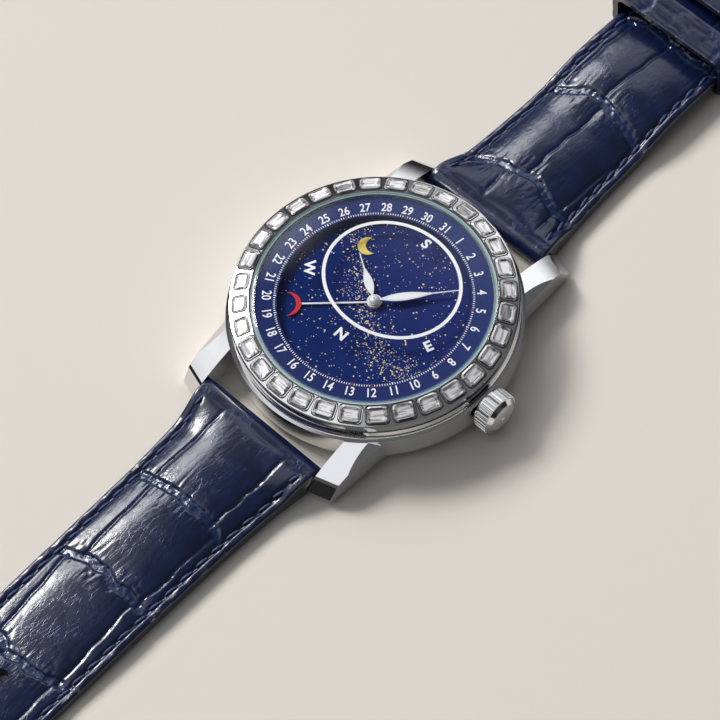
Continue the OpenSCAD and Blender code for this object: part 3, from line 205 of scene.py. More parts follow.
STEEL = (0.82, 0.82, 0.83)
TOOL_STEEL = (0.62, 0.62, 0.64)
WHEEL_STEEL = (0.7, 0.7, 0.71)
SPRING_STEEL = (0.30, 0.34, 0.42)
BLUED_STEEL = (0.03, 0.08, 0.36)
BRIDGE_NICKEL = (0.76, 0.76, 0.75)
HAND_SILVER = (0.92, 0.92, 0.93)
HAND_METALLIC = 0.35
HAND_ROUGHNESS = 0.28
GILT = (0.86, 0.62, 0.30)
PLATE_GILT = (0.78, 0.66, 0.42)
NAVY = (0.0060, 0.0140, 0.066)
NAVY_DEEP = (0.0028, 0.0070, 0.034)
NAVY_GROOVE = (0.007, 0.022, 0.084)
THREAD = (0.020, 0.042, 0.135)
WHITE = (0.96, 0.96, 0.96)
DATE_RED = (0.62, 0.012, 0.025)
PRINT_RED = (0.62, 0.02, 0.03)
STAR_GOLD = (0.90, 0.74, 0.34)
STAR_PALE = (0.55, 0.6, 0.72)
SEAL_DARK = (0.02, 0.02, 0.022)
SEAL_PALE = (0.45, 0.62, 0.66)
# The second blue of each pair is lighter: a painted reflection of haze in the watch glass
RING_BLUE_AND_PAINTED_HAZE = (0.015, 0.027, 0.125), (0.028, 0.045, 0.16)
SKY_BLUE_AND_PAINTED_HAZE = (0.0025, 0.018, 0.120), (0.020, 0.032, 0.155)
RUBIES = (0.42, 0.004, 0.03), (0.72, 0.02, 0.07)
MOON_GOLDS = (0.68, 0.50, 0.07), (0.90, 0.74, 0.18)
# Painted shade and painted glint: every facet of the stones mixes between these
STONE_PAINTED_DARK_AND_GLINT = (0.035, 0.03, 0.035), (0.97, 0.965, 1.0)
FLOOR_PAPER = (0.74, 0.70, 0.645)
GLASS_RIM_W = 0.45


def shader_of(m):
    return m.node_tree.nodes["Principled BSDF"]


def material(name, colour, metallic=0.0, roughness=0.5, **sockets):
    m = bpy.data.materials.new(name)
    m.use_nodes = True
    shader = shader_of(m)
    shader.inputs["Base Color"].default_value = (*colour, 1)
    shader.inputs["Metallic"].default_value = metallic
    shader.inputs["Roughness"].default_value = roughness
    for key, value in sockets.items():
        shader.inputs[key.replace("_", " ")].default_value = value
    return m


def node(m, kind, inputs=None, **settings):
    """A new node of a material or world; each input is a number, a colour or another's output."""
    n = m.node_tree.nodes.new("ShaderNode" + kind)
    for key, value in settings.items():
        setattr(n, key, value)
    for key, value in (inputs or {}).items():
        if isinstance(value, bpy.types.NodeSocket):
            m.node_tree.links.new(value, n.inputs[key])
        else:
            n.inputs[key].default_value = value
    return n


def feed(m, socket, source):
    """Drive one input of a material's shader."""
    m.node_tree.links.new(source, shader_of(m).inputs[socket])


def place_of(m):
    return node(m, "TexCoord").outputs["Object"]


def xyz_of(m, vector):
    return node(m, "SeparateXYZ", {"Vector": vector}).outputs


def noise_at(m, vector, scale, detail, roughness):
    return node(m, "TexNoise", {"Vector": vector, "Scale": scale, "Detail": detail,
                                "Roughness": roughness}).outputs["Fac"]


def noise(m, per_mm, detail=3.0, roughness=0.5, stretch=(1, 1, 1), lean=0.0):
    turned = node(m, "Mapping", {"Vector": place_of(m), "Rotation": (0, 0, lean)})
    vector = node(m, "Mapping", {"Vector": turned.outputs["Vector"],
                                 "Scale": tuple(s / MM for s in stretch)}).outputs["Vector"]
    return noise_at(m, vector, per_mm, detail, roughness)


def ramp(m, source, low, high, out_low=0.0, out_high=1.0, **settings):
    ends = {"From Min": low, "From Max": high, "To Min": out_low, "To Max": out_high}
    return node(m, "MapRange", {"Value": source, **ends}, **settings).outputs["Result"]


def maths(m, operation, a, b=0.0, c=0.0):
    return node(m, "Math", {0: a, 1: b, 2: c}, operation=operation).outputs["Value"]


def plan_radius(m, centre=(0, 0)):
    """Distance in plan from a centre given in millimetres."""
    at = xyz_of(m, place_of(m))
    squares = []
    for axis, middle in zip("XY", centre):
        away = maths(m, "SUBTRACT", at[axis], middle * MM)
        squares.append(maths(m, "MULTIPLY", away, away))
    return maths(m, "SQRT", maths(m, "ADD", *squares))


def colour_mix(m, factor, a, b):
    """Colour a where the factor is 0 and colour b where it is 1."""
    a, b = (c if isinstance(c, bpy.types.NodeSocket) else (*c, 1) for c in (a, b))
    return node(m, "Mix", {0: factor, 6: a, 7: b}, data_type="RGBA").outputs[2]


def shaded(m, factor, colour, share):
    """A colour where the factor is 1, and a share of it where the factor is 0."""
    return colour_mix(m, factor, [c * share for c in colour], colour)


def bump(m, height, distance_mm, strength):
    return node(m, "Bump", {"Height": height, "Distance": distance_mm * MM,
                            "Strength": strength}).outputs["Normal"]


def attribute(m, name):
    return node(m, "Attribute", attribute_name=name, attribute_type="GEOMETRY").outputs["Fac"]


def polished(name, colour, roughness=0.07):
    """Polished metal with faint handling marks."""
    m = material(name, colour, 1.0, roughness)
    marks = noise(m, 0.6, 6, 0.65)
    fine = noise(m, 9.0, 4, 0.6)
    feed(m, "Roughness", maths(m, "ADD", ramp(m, marks, 0.35, 0.75, roughness, roughness + 0.05),
                               ramp(m, fine, 0.3, 0.8, 0, 0.02)))
    feed(m, "Normal", bump(m, fine, 0.002, 0.25))
    return m


def ringed(name, colour, centre, roughness=0.22, pitch=14.0):
    """Metal with circular brushing round a centre in plan."""
    m = material(name, colour, 1.0, roughness)
    ring = node(m, "CombineXYZ", {"X": plan_radius(m, centre)}).outputs["Vector"]
    grain = noise_at(m, ring, pitch / MM, 3.0, 0.6)
    feed(m, "Roughness", ramp(m, grain, 0.3, 0.7, roughness - 0.06, roughness + 0.12))
    feed(m, "Base Color", shaded(m, ramp(m, grain, 0.3, 0.7), colour, 0.85))
    feed(m, "Normal", bump(m, grain, 0.004, 0.5))
    return m


def leather(name):
    """Glazed embossed leather: deep colour, bluer grooves, patches of fine hairlines."""
    m = material(name, NAVY, 0.0, 0.32, Coat_Weight=1.0, Coat_Roughness=0.17,
                 Specular_IOR_Level=0.15)
    cloud = noise(m, 0.3, 4, 0.6)
    pore = noise(m, 6.0, 4, 0.6)
    base = colour_mix(m, ramp(m, cloud, 0.35, 0.68), NAVY_DEEP, NAVY)
    base = colour_mix(m, ramp(m, attribute(m, "groove"), 0.3, 0.85), base, NAVY_GROOVE)
    base = colour_mix(m, ramp(m, attribute(m, "edge"), 0.3, 0.8), base, NAVY_DEEP)
    feed(m, "Base Color", base)
    feed(m, "Roughness", ramp(m, pore, 0.3, 0.75, 0.27, 0.38))
    # A hairline runs where a noise that is stretched along the strap passes its middle value
    hairlines = []
    for per_mm, along, lean, width in ((1.5, 0.17, 0.16, 0.03), (1.1, 0.28, -0.3, 0.02)):
        lines = noise(m, per_mm, 2, 0.5, stretch=(1, along, 1), lean=lean)
        away = maths(m, "ABSOLUTE", maths(m, "SUBTRACT", lines, 0.5))
        hairlines.append(ramp(m, away, 0.0, width, 0.0, 1.0))
    patches = ramp(m, cloud, 0.4, 0.62, 0.15, 1.0)
    height = maths(m, "ADD", maths(m, "MULTIPLY", maths(m, "ADD", *hairlines), patches),
                   maths(m, "MULTIPLY", pore, 0.1))
    feed(m, "Normal", bump(m, height, 0.014, 0.7))
    feed(m, "Coat Normal", bump(m, height, 0.010, 0.7))
    return m


def print_ink(name, colour):
    m = material(name, colour, 0.0, 0.35)
    speck = noise(m, 12.0, 3, 0.6)
    feed(m, "Base Color", shaded(m, ramp(m, speck, 0.3, 0.7), colour, 0.93))
    return m


def glass_sheet(name, tint, rim_from, rim_tint):
    """Thin clear glass: see-through with a gloss that grows at a slant and a tinted rim."""
    m = bpy.data.materials.new(name)
    m.use_nodes = True
    tree = m.node_tree
    tree.nodes.remove(shader_of(m))
    clear = node(m, "BsdfTransparent", {"Color": (*tint, 1)})
    gloss = node(m, "BsdfGlossy", {"Color": (1, 1, 1, 1), "Roughness": 0.02})
    slant = node(m, "LayerWeight", {"Blend": 0.5}).outputs["Facing"]
    gain = maths(m, "MULTIPLY_ADD", maths(m, "POWER", slant, 5.0), 0.5, 0.015)
    sheet = node(m, "MixShader", {0: gain, 1: clear.outputs[0], 2: gloss.outputs[0]})
    edge = ramp(m, plan_radius(m), rim_from * MM, (rim_from + GLASS_RIM_W) * MM, 0.0, 0.55)
    glow = node(m, "BsdfPrincipled", {"Base Color": (*rim_tint, 1), "Roughness": 0.1})
    whole = node(m, "MixShader", {0: edge, 1: sheet.outputs[0], 2: glow.outputs[0]})
    tree.links.new(whole.outputs[0], tree.nodes["Material Output"].inputs["Surface"])
    return m


def stone():
    """Clear stone with painted light: each facet carries a painted reflection, bright or dark,
    and its place for painted streaks of reflected steps.
    """
    m = material("stone", (0.96, 0.97, 1.0), 0.12, 0.05, Coat_Weight=0.6, Coat_Roughness=0.02)
    at = node(m, "CombineXYZ", {"X": attribute(m, "step"), "Y": attribute(m, "along"),
                                "Z": attribute(m, "lot")}).outputs["Vector"]
    # Painted streaks of reflected step facets, laid over each facet's painted light
    painted_streak = ramp(m, noise_at(m, at, 1.0, 1.0, 0.5), 0.40, 0.50, 0.55, 1.35)
    shade = maths(m, "MULTIPLY", attribute(m, "shade"), painted_streak)
    feed(m, "Base Color", colour_mix(m, shade, *STONE_PAINTED_DARK_AND_GLINT))
    return m


def enamel(name, low, high):
    """Lacquer going from one colour at 7 o'clock to another at 1 o'clock: a painted reflection of
    the glass's haze, with random tone.
    """
    m = material(name, low, 0.0, 0.12, Specular_IOR_Level=0.2)
    at = xyz_of(m, place_of(m))
    # Painted reflection: the colour lightens towards 1 o'clock, where the glass shows haze
    up = ramp(m, maths(m, "MULTIPLY_ADD", at["X"], 0.45, at["Y"]), -12 * MM, 15 * MM)
    cloud = noise(m, 0.25, 3, 0.5)
    shade = maths(m, "ADD", up, ramp(m, cloud, 0.3, 0.7, -0.12, 0.12))
    feed(m, "Base Color", colour_mix(m, shade, low, high))
    return m


def striped(name, colour, pitch_mm=1.7):
    """Bridges with parallel polished stripes."""
    m = material(name, colour, 1.0, 0.25)
    at = xyz_of(m, place_of(m))
    lean = maths(m, "ADD", at["X"], maths(m, "MULTIPLY", at["Y"], 0.35))
    wave = maths(m, "SINE", maths(m, "MULTIPLY", lean, math.tau / (pitch_mm * MM)))
    stripe = ramp(m, wave, -1, 1)
    grain = noise(m, 20.0, 3, 0.6, stretch=(0.3, 1, 1))
    feed(m, "Base Color", shaded(m, stripe, colour, 0.72))
    feed(m, "Roughness", ramp(m, grain, 0.3, 0.7, 0.18, 0.34))
    feed(m, "Normal", bump(m, maths(m, "ADD", stripe, maths(m, "MULTIPLY", grain, 0.2)),
                           0.02, 0.6))
    return m


def pearled(name, colour):
    """Plate covered in small overlapping polished spots."""
    m = material(name, colour, 1.0, 0.25)
    cells = node(m, "TexVoronoi", {"Vector": place_of(m), "Scale": 0.9 / MM,
                                   "Randomness": 0.15}).outputs["Distance"]
    rings = maths(m, "FRACT", maths(m, "MULTIPLY", cells, 5.0))
    feed(m, "Roughness", ramp(m, cells, 0.0, 0.6, 0.16, 0.4))
    feed(m, "Base Color", shaded(m, ramp(m, cells, 0, 0.6, 1, 0), colour, 0.8))
    feed(m, "Normal", bump(m, maths(m, "ADD", cells, maths(m, "MULTIPLY", rings, 0.1)),
                           0.02, 0.5))
    return m


def matt(name, colour, roughness=0.6):
    """Rubber or thread with a fine grain."""
    m = material(name, colour, 0.0, roughness)
    fine = noise(m, 8.0, 3, 0.6)
    feed(m, "Normal", bump(m, fine, 0.01, 0.4))
    feed(m, "Base Color", shaded(m, fine, colour, 0.8))
    return m


def hand_paint():
    m = material("hand_silver", HAND_SILVER, HAND_METALLIC, HAND_ROUGHNESS)
    feed(m, "Base Color", shaded(m, noise(m, 9.0, 3, 0.6), HAND_SILVER, 0.96))
    return m


def date_hand_paint():
    """Silver rod and a red crescent beyond a set distance from the centre."""
    m = material("date_hand_paint", HAND_SILVER, HAND_METALLIC, HAND_ROUGHNESS)
    red = ramp(m, plan_radius(m), (CRESCENT_FROM - 0.02) * MM, (CRESCENT_FROM + 0.02) * MM)
    feed(m, "Base Color", colour_mix(m, red, HAND_SILVER, DATE_RED))
    feed(m, "Metallic", ramp(m, red, 0, 1, HAND_METALLIC, 0))
    return m


def crown_steel():
    """Polished flutes with a satin end face."""
    m = polished("crown_steel", STEEL, 0.08)
    end = ramp(m, xyz_of(m, node(m, "TexCoord").outputs["Normal"])["X"], 0.93, 0.97)
    flutes = shader_of(m).inputs["Roughness"].links[0].from_socket
    satin = ramp(m, noise(m, 16.0, 3, 0.6), 0.3, 0.7, 0.25, 0.4)
    feed(m, "Roughness", node(m, "Mix", {0: end, 2: flutes, 3: satin}).outputs[0])
    return m


def moon_gilt():
    m = material("moon_gilt", (0.84, 0.66, 0.14), 0.25, 0.4)
    speck = noise(m, 6.0, 4, 0.7)
    feed(m, "Base Color", colour_mix(m, ramp(m, speck, 0.4, 0.62), *MOON_GOLDS))
    feed(m, "Normal", bump(m, speck, 0.02, 0.6))
    return m


def ruby():
    m = material("ruby", (0.6, 0.008, 0.045), 0.0, 0.06, Transmission_Weight=0.35, IOR=1.76)
    feed(m, "Base Color", colour_mix(m, noise(m, 3.0, 2), *RUBIES))
    return m


def dress_nodes():
    """Give every CAD node that stays its finish."""
    shared = [
        (polished("polished_steel", STEEL),
         "case_middle bezel crown_tube buckle_frame buckle_tongue"),
        (polished("tool_steel", TOOL_STEEL, 0.14),
         "casing_clamps spring_bars cannon_pinion barrel_arbor click winding_pinion clutch_wheel "
         "stem setting_lever pallet_fork buckle_bar"),
        (polished("gilt", GILT, 0.16),
         "sky_wheel date_wheel hour_wheel minute_wheel escape_wheel balance_wheel"),
        (polished("blued_screws", BLUED_STEEL, 0.12), "ratchet_screw movement_screws"),
        (polished("spring_steel", SPRING_STEEL, 0.2), "mainspring hairspring"),
        (striped("bridge_stripes", BRIDGE_NICKEL),
         "barrel_bridge train_bridge pallet_bridge balance_cock"),
        (pearled("pearled_plate", PLATE_GILT), "module_plate mainplate"),
        (matt("dark_seal", SEAL_DARK), "back_gasket crown_gasket"),
        (matt("pale_seal", SEAL_PALE, 0.3), "crystal_gasket"),
        (glass_sheet("watch_glass", (0.985, 0.99, 1.0), 16.6, (0.60, 0.80, 0.84)), "crystal"),
        (glass_sheet("back_glass", (0.98, 0.99, 1.0), 13.0, (0.4, 0.6, 0.66)), "back_crystal"),
        (ringed("case_back_steel", STEEL, (0, 0), 0.12, 6.0), "case_back"),
        (ringed("ring_gilt", PLATE_GILT, (0, 0), 0.25, 5.0), "movement_ring"),
        (enamel("date_ring_lacquer", *RING_BLUE_AND_PAINTED_HAZE), "date_dial"),
        (enamel("sky_lacquer", *SKY_BLUE_AND_PAINTED_HAZE), "sky_disc"),
        (hand_paint(), "hour_hand minute_hand hand_cap"), (date_hand_paint(), "date_hand"),
        (crown_steel(), "crown"), (moon_gilt(), "moon"), (ruby(), "jewels"),
    ]
    looks = {name: look for look, names in shared for name in names.split()}
    for name, look, colour in (
            ("barrel", "barrel_gilt", GILT), ("centre_wheel", "centre_gilt", GILT),
            ("third_wheel", "third_gilt", GILT), ("fourth_wheel", "fourth_gilt", GILT),
            ("ratchet_wheel", "ratchet_steel", WHEEL_STEEL),
            ("crown_wheel", "crown_wheel_steel", WHEEL_STEEL)):
        low, high = box_mm(name)
        looks[name] = ringed(look, colour, (low + high)[:2] / 2)
    for name, look in looks.items():
        piece = NODES[name]
        if not piece.material_slots:
            piece.data.materials.append(look)
        for slot in piece.material_slots:
            slot.material = look


# Dial: heights read from the CAD nodes

DIAL_TOP = box_mm("date_dial")[1][2]
SKY_TOP = box_mm("sky_disc")[1][2]
CRESCENT_FROM = 10.12
PRINT_H = 0.012


def glyph(text, height, width_share, thicken):
    """A word's outline as points and faces, centred on the origin, 0 to 1 in thickness."""
    curve = bpy.data.curves.new("glyph", "FONT")
    curve.body = text
    curve.size = 1.0
    curve.extrude = 0.5
    curve.offset = thicken
    curve.resolution_u = 4
    holder = new_object("glyph", curve)
    bpy.context.view_layer.update()
    mesh = bpy.data.meshes.new_from_object(holder)
    points = np.array([v.co for v in mesh.vertices], float)
    faces = [list(p.vertices) for p in mesh.polygons]
    bpy.data.objects.remove(holder)
    bpy.data.meshes.remove(mesh)
    bpy.data.curves.remove(curve)
    low, high = points.min(0), points.max(0)
    points = (points - (low + high) / 2) * (height / (high[1] - low[1]))
    points[:, 0] *= width_share
    points[:, 2] = points[:, 2] > 0
    return points, faces


NUMERAL_COUNT = 31
NUMERAL_R = 15.0
NUMERAL_H = 1.38
NUMERAL_WIDTH_SHARE = 0.82
NUMERAL_THICKEN = 0.014
NUMERAL_START = -1.8
INWARD_NUMERALS = range(10, 23)
TRACK_IN = 13.68
TRACK_OUT = 14.06
TICKS_PER_DAY = 8
TICK_W = 0.11
DAY_TICK_W = 0.15
TICK_SHORTER = 0.1
RED_DAYS = (5, 8, 12, 13, 23, 24, 26, 28, 29, 31)


def make_numerals(ink):
    shape = Shape()
    for day in range(1, NUMERAL_COUNT + 1):
        points, faces = glyph(str(day), NUMERAL_H, NUMERAL_WIDTH_SHARE, NUMERAL_THICKEN)
        angle = NUMERAL_START + day * 360 / NUMERAL_COUNT
        points = turn(points, angle + 180 if day in INWARD_NUMERALS else angle)
        points[:, :2] += clock_point(NUMERAL_R, angle)
        points[:, 2] = DIAL_TOP + points[:, 2] * PRINT_H
        shape.add(points, faces)
    shape.piece("date_numerals", ink, "case", "hand_silver")


def make_track(white, red):
    ticks = {"white": Shape(), "red": Shape()}
    count = NUMERAL_COUNT * TICKS_PER_DAY
    red_at = {day * TICKS_PER_DAY for day in RED_DAYS}
    for i in range(1, count + 1):
        main = i % TICKS_PER_DAY == 0
        half = (DAY_TICK_W if main else TICK_W) / 2
        inner = TRACK_IN + (0 if main else TICK_SHORTER)
        points, faces = plate(oblong(half, inner, TRACK_OUT), DIAL_TOP, DIAL_TOP + PRINT_H)
        colour = "red" if i in red_at else "white"
        ticks[colour].add(turn(points, NUMERAL_START + i * 360 / count), faces)
    ticks["white"].piece("date_track", white, "case", "hand_silver")
    ticks["red"].piece("date_track_red", red, "case", "date_red")


# The horizon and the compass letters are printed under the watch glass

GLASS_LOW_MID = 9.67
GLASS_LOW_R = 191.7
GLASS_GAP = 0.01
GLASS_PRINT_H = 0.02
OVAL_POINTS = 160
OVAL_CENTRE = np.array([0.0, 3.7])
OVAL_HALF = np.array([10.2, 8.8])
OVAL_LINE = 0.5
# Each letter's place and its lean, in degrees clockwise
LETTERS = {"S": ((-0.43, 11.13), 0), "N": ((0.81, -7.38), 0),
           "E": ((11.06, -0.72), -68), "W": ((-9.94, -2.53), 50)}
LETTER_H = 1.62
LETTER_WIDTH_SHARE = 1.06
LETTER_THICKEN = 0.035


def under_glass(points, depth):
    """Height at a depth under the glass dome, for points in plan."""
    r2 = points[:, 0] ** 2 + points[:, 1] ** 2
    return GLASS_LOW_MID - (GLASS_LOW_R - np.sqrt(GLASS_LOW_R ** 2 - r2)) - depth


def make_horizon(ink):
    low, high = GLASS_GAP + GLASS_PRINT_H, GLASS_GAP
    ring = circle(1.0, OVAL_POINTS)
    edges = [OVAL_CENTRE + ring * OVAL_HALF + unit(ring / OVAL_HALF) * offset
             for offset in (-OVAL_LINE / 2, OVAL_LINE / 2)]
    edges = [np.column_stack([edge, under_glass(edge, 0.0)]) for edge in edges]
    shape = Shape().add(*band(*edges, -low, -high))
    for letter, (at, lean) in LETTERS.items():
        points, faces = glyph(letter, LETTER_H, LETTER_WIDTH_SHARE, LETTER_THICKEN)
        points = turn(points, lean)
        points[:, :2] += at
        points[:, 2] = under_glass(points, low - points[:, 2] * GLASS_PRINT_H)
        shape.add(points, faces)
    shape.piece("horizon_print", ink, "case", "hand_silver")


STAR_COUNT = 1250
STAR_SEED = 41
STAR_SIDES = 6
STAR_FIELD_R = 13.3
STAR_R = 0.05
STAR_R_SPREAD = 0.1
STAR_PALE_SHARE = 0.22
# The share of stars kept far from the dense band, and the band's half width
STAR_SPARSE = 0.1
STAR_BAND_W = 2.6


def star_band(x):
    """Middle of the dense band, as a curve across the dial."""
    return -2.5 - 0.55 * x + 0.035 * (x - 2) ** 2


def make_stars(gold, pale):
    """A random star field with a denser curved band, printed on the sky disc."""
    rng = np.random.default_rng(STAR_SEED)
    shapes = {"gold": Shape(), "pale": Shape()}
    placed = 0
    while placed < STAR_COUNT:
        x, y = circle_point(rng.random() * math.tau, STAR_FIELD_R * math.sqrt(rng.random()))
        away = (y - star_band(x)) / STAR_BAND_W
        if rng.random() > STAR_SPARSE + (1 - STAR_SPARSE) * math.exp(-away * away):
            continue
        size = STAR_R + STAR_R_SPREAD * rng.random() ** 4
        spin = rng.random() * math.pi
        outline = [circle_point(spin + k * math.tau / STAR_SIDES, size) + (x, y)
                   for k in range(STAR_SIDES)]
        kind = "pale" if rng.random() < STAR_PALE_SHARE else "gold"
        shapes[kind].add(*plate(outline, SKY_TOP, SKY_TOP + PRINT_H))
        placed += 1
    shapes["gold"].piece("sky_stars", gold, "sky_group", "moon_gold")
    shapes["pale"].piece("sky_stars_pale", pale, "sky_group", "hand_silver")


# Hand inlays: a white strip inside each leaf, which follows the leaf's own outline

# Each hand's name, length and clock angle
HANDS = (("hour", 8.2, 302), ("minute", 12.0, 41))
LEAF_FROM = 1.05
LEAF_SHARE = 0.68
LEAF_W = 1.1
LEAF_LINE = 0.2
INLAY_POINTS = 24
INLAY_FROM, INLAY_TO = 0.1, 0.93
INLAY_MIN_HALF = 0.03


def make_inlay(hand, length, angle, ink):
    top = box_mm(hand + "_hand")[1][2]
    t = np.linspace(INLAY_FROM, INLAY_TO, INLAY_POINTS)
    along = LEAF_FROM + (length * LEAF_SHARE - LEAF_FROM) * t
    leaf_half = LEAF_W / 2 * np.sin(np.pi * t ** 0.85) ** 1.1 + 0.1
    half = np.maximum(leaf_half - LEAF_LINE, INLAY_MIN_HALF)
    outline = mirrored(np.column_stack([half, along]))
    shape = Shape().add(*plate(turn(outline, angle), top, top + PRINT_H))
    shape.piece(hand + "_hand_inlay", ink, hand + "_group", "hand_silver")


# Stones: step cut, built facet by facet in a frame whose X runs outwards down the slope

STONE_COUNT = 32
STONE_R = 18.7
STONE_Z = 9.213
STONE_SLOPE = 20
STONE_W = 2.1
STONE_L = 3.0
STONE_CORNER = 0.5
CORNER_CUT = 0.29
STONE_SPREAD = 0.14
BEZEL_FACE_H = 0.009
STONE_SEED = 17
# Inset from the outline, height, and the darkest and brightest painted reflection on the facets
# above it
STONE_RINGS = [
    (0.75, -0.80, 0.1, 0.1), (0.38, -0.50, 0.1, 0.1), (0.0, -0.10, 0.03, 0.05),
    # The dark rings from here to an inset of -0.02 make a collar of painted shadow round each
    # stone
    (0.0, 0.008, 0.02, 0.03), (-0.22, 0.010, 0.0, 0.02), (-0.22, 0.038, 0.0, 0.02),
    (-0.02, 0.038, 0.0, 0.1), (0.0, 0.12, 0.0, 0.6), (0.15, 0.22, 0.3, 1.0),
    (0.22, 0.245, 0.0, 0.5), (0.27, 0.17, 0.1, 0.9), (0.45, 0.12, 0.4, 1.0),
    (0.60, 0.09, 0.4, 1.0),
]
CULET_PAINTED_SHADE = 0.2
# Darkest and brightest painted reflection on the tables: most are painted bright, and a share
# painted dark
TABLE_PAINTED_REFLECTIONS = ((0.93, 1.0), (0.25, 0.5))
DARK_TABLE_SHARE = 0.22
# The facets at a stone's two ends, and the share of their painted light that they keep, which
# paints them in shade
END_SIDES = (3, 9)
END_PAINTED_SHADE = 0.55
# How fast the painted streaks of reflected light inside a stone change across it, along it and
# from stone to stone
STREAK_ACROSS = 3.4
STREAK_ALONG = 0.5
STREAK_LOT = 7.3


def stone_ring(inset, height):
    """An oblong outline with two facets to each corner, widened above the bezel's face."""
    a, b = STONE_W / 2 - inset, STONE_L / 2 - inset
    a += STONE_SPREAD if height > BEZEL_FACE_H else 0
    c = min(STONE_CORNER * (1 - 0.5 * inset), a * 0.8)
    cut = c * CORNER_CUT
    return np.array([(a, -b + c), (a, b - c), (a - cut, b - cut), (a - c, b), (-a + c, b),
                     (-a + cut, b - cut), (-a, b - c), (-a, -b + c), (-a + cut, -b + cut),
                     (-a + c, -b), (a - c, -b), (a - cut, -b + cut)])


def make_stones(look):
    rng = np.random.default_rng(STONE_SEED)
    shape = Shape()
    slope = math.radians(STONE_SLOPE)
    z = np.array([0, 0, 1])
    flats = [stone_ring(inset, height) for inset, height, _, _ in STONE_RINGS]
    count = len(flats[0])
    for i in range(STONE_COUNT):
        turned = i * math.tau / STONE_COUNT
        out = np.array([*circle_point(turned, 1), 0])
        side = np.array([-out[1], out[0], 0])
        down = out * math.cos(slope) - z * math.sin(slope)
        up = out * math.sin(slope) + z * math.cos(slope)
        rings = [out * STONE_R + z * STONE_Z + flat[:, :1] * down + flat[:, 1:] * side
                 + height * up for flat, (_, height, _, _) in zip(flats, STONE_RINGS)]

        def add_facet(corners, flat, shade):
            shape.add(corners, [list(range(len(corners)))], shade=shade,
                      step=flat[:, 0] * STREAK_ACROSS, along=flat[:, 1] * STREAK_ALONG,
                      lot=i * STREAK_LOT)

        add_facet(rings[0][::-1], flats[0][::-1], CULET_PAINTED_SHADE)
        for low, high, a, b, (_, _, dark, light) in zip(rings, rings[1:], flats, flats[1:],
                                                        STONE_RINGS):
            for k in range(count):
                n = (k + 1) % count
                # Each facet's painted reflection, between its ring's darkest and brightest
                shade = dark + (light - dark) * rng.random()
                shade *= END_PAINTED_SHADE if k in END_SIDES else 1
                add_facet(np.array([low[k], low[n], high[n], high[k]]),
                          np.array([a[k], a[n], b[n], b[k]]), shade)
        # Each table's painted reflection: bright, or dark for a share of the stones
        dark, light = TABLE_PAINTED_REFLECTIONS[rng.random() < DARK_TABLE_SHARE]
        add_facet(rings[-1], flats[-1], dark + (light - dark) * rng.random())
    shape.piece("stones_faceted", look, "case", "stone", ["bezel_stones"], 1)


# Leather: the strap is built for a half that runs along +Y, and the long half is then mirrored

BAR_Y = 23.7
BAR_Z = 2.15
BAR_BORE_R = 0.94
BAR_REACH = 12
LOOP_R = 1.75
SEAM_INSET = 1.4
STITCH_EDGE_H = 2.0
EDGE_SHARE = 0.68
STRAP_BOTTOM = 0.04
STRAP_TOP_HALF = 10.85
STRAP_FAR_HALF = 9.3
TAPER_L = 8.0
PAD_H = 4.1
STRAP_H = 2.3
PAD_FROM = 33.0
PAD_L = 40.0
LIFT_FROM = 42.0
LIFT_L = 11.0
SHORT_LIFT = 1.4
TIP_L = 11
TIP_END = 0.96
TIP_POWER = 2.4
TIP_THINNER = 0.2


def ease(t):
    t = np.clip(t, 0, 1)
    return t * t * (3 - 2 * t)


def peak(distance, width):
    """1 at no distance, falling off within about the width."""
    return np.exp(-(distance / width) ** 2)


def half_w(y):
    far = STRAP_FAR_HALF
    return far + (STRAP_TOP_HALF - far) * np.exp(-np.maximum(0, y - BAR_Y - 1) / TAPER_L)


def value_noise(x, y, seed):
    """Smooth random values from 0 to 1 over a plane, with cells one unit wide."""
    grid = np.random.default_rng(seed).random((97, 97))
    xi, yi = np.floor(x).astype(int), np.floor(y).astype(int)
    fx, fy = ease(x - xi), ease(y - yi)
    a, b = grid[xi % 97, yi % 97], grid[(xi + 1) % 97, yi % 97]
    c, d = grid[xi % 97, (yi + 1) % 97], grid[(xi + 1) % 97, (yi + 1) % 97]
    return (a * (1 - fx) + b * fx) * (1 - fy) + (c * (1 - fx) + d * fx) * fy


def soft_line(v, points):
    """A line through a few points, given as (v, w), with rounded bends."""
    at, to = np.array(points, float).T
    k = np.clip(np.searchsorted(at, v) - 1, 0, len(at) - 2)
    t = np.clip((v - at[k]) / (at[k + 1] - at[k]), -0.4, 1.4)
    bend = np.where((t > 0) & (t < 1), 0.5 * t + 0.5 * ease(t), t)
    return to[k] + (to[k + 1] - to[k]) * bend


# Scale borders: rows across the strap, as (x, distance from the centre), and
# lines along it between two rows, as (distance, x)
SHORT_ROWS = [
    [(-7.6, 29.7), (-4.1, 30.7), (1.2, 31.9), (6.4, 29.9), (10.0, 30.1)],
    [(-7.6, 45.9), (-2.2, 48.1), (2.3, 47.4), (9.7, 45.8)],
    [(-9, 61.4), (-3, 62.6), (3, 61.8), (9, 62.9)],
    [(-9, 75.4), (-2, 76.1), (4, 75.2), (9, 75.9)],
]
SHORT_LINES = [
    [(22.0, -2.0), (30.4, -3.4)], [(21.0, 8.1), (29.2, 6.7)],
    [(32.3, -0.1), (46.9, 0.3)], [(31.0, 7.1), (45.6, 7.8)],
    [(48.4, -0.6), (61.6, 0.5)], [(47.6, -6.9), (61.6, -6.4)],
    [(63.0, 3.2), (74.9, 2.6)], [(63.2, -4.7), (75.0, -5.1)],
    [(76.6, -1.2), (84.0, -1.0)],
]
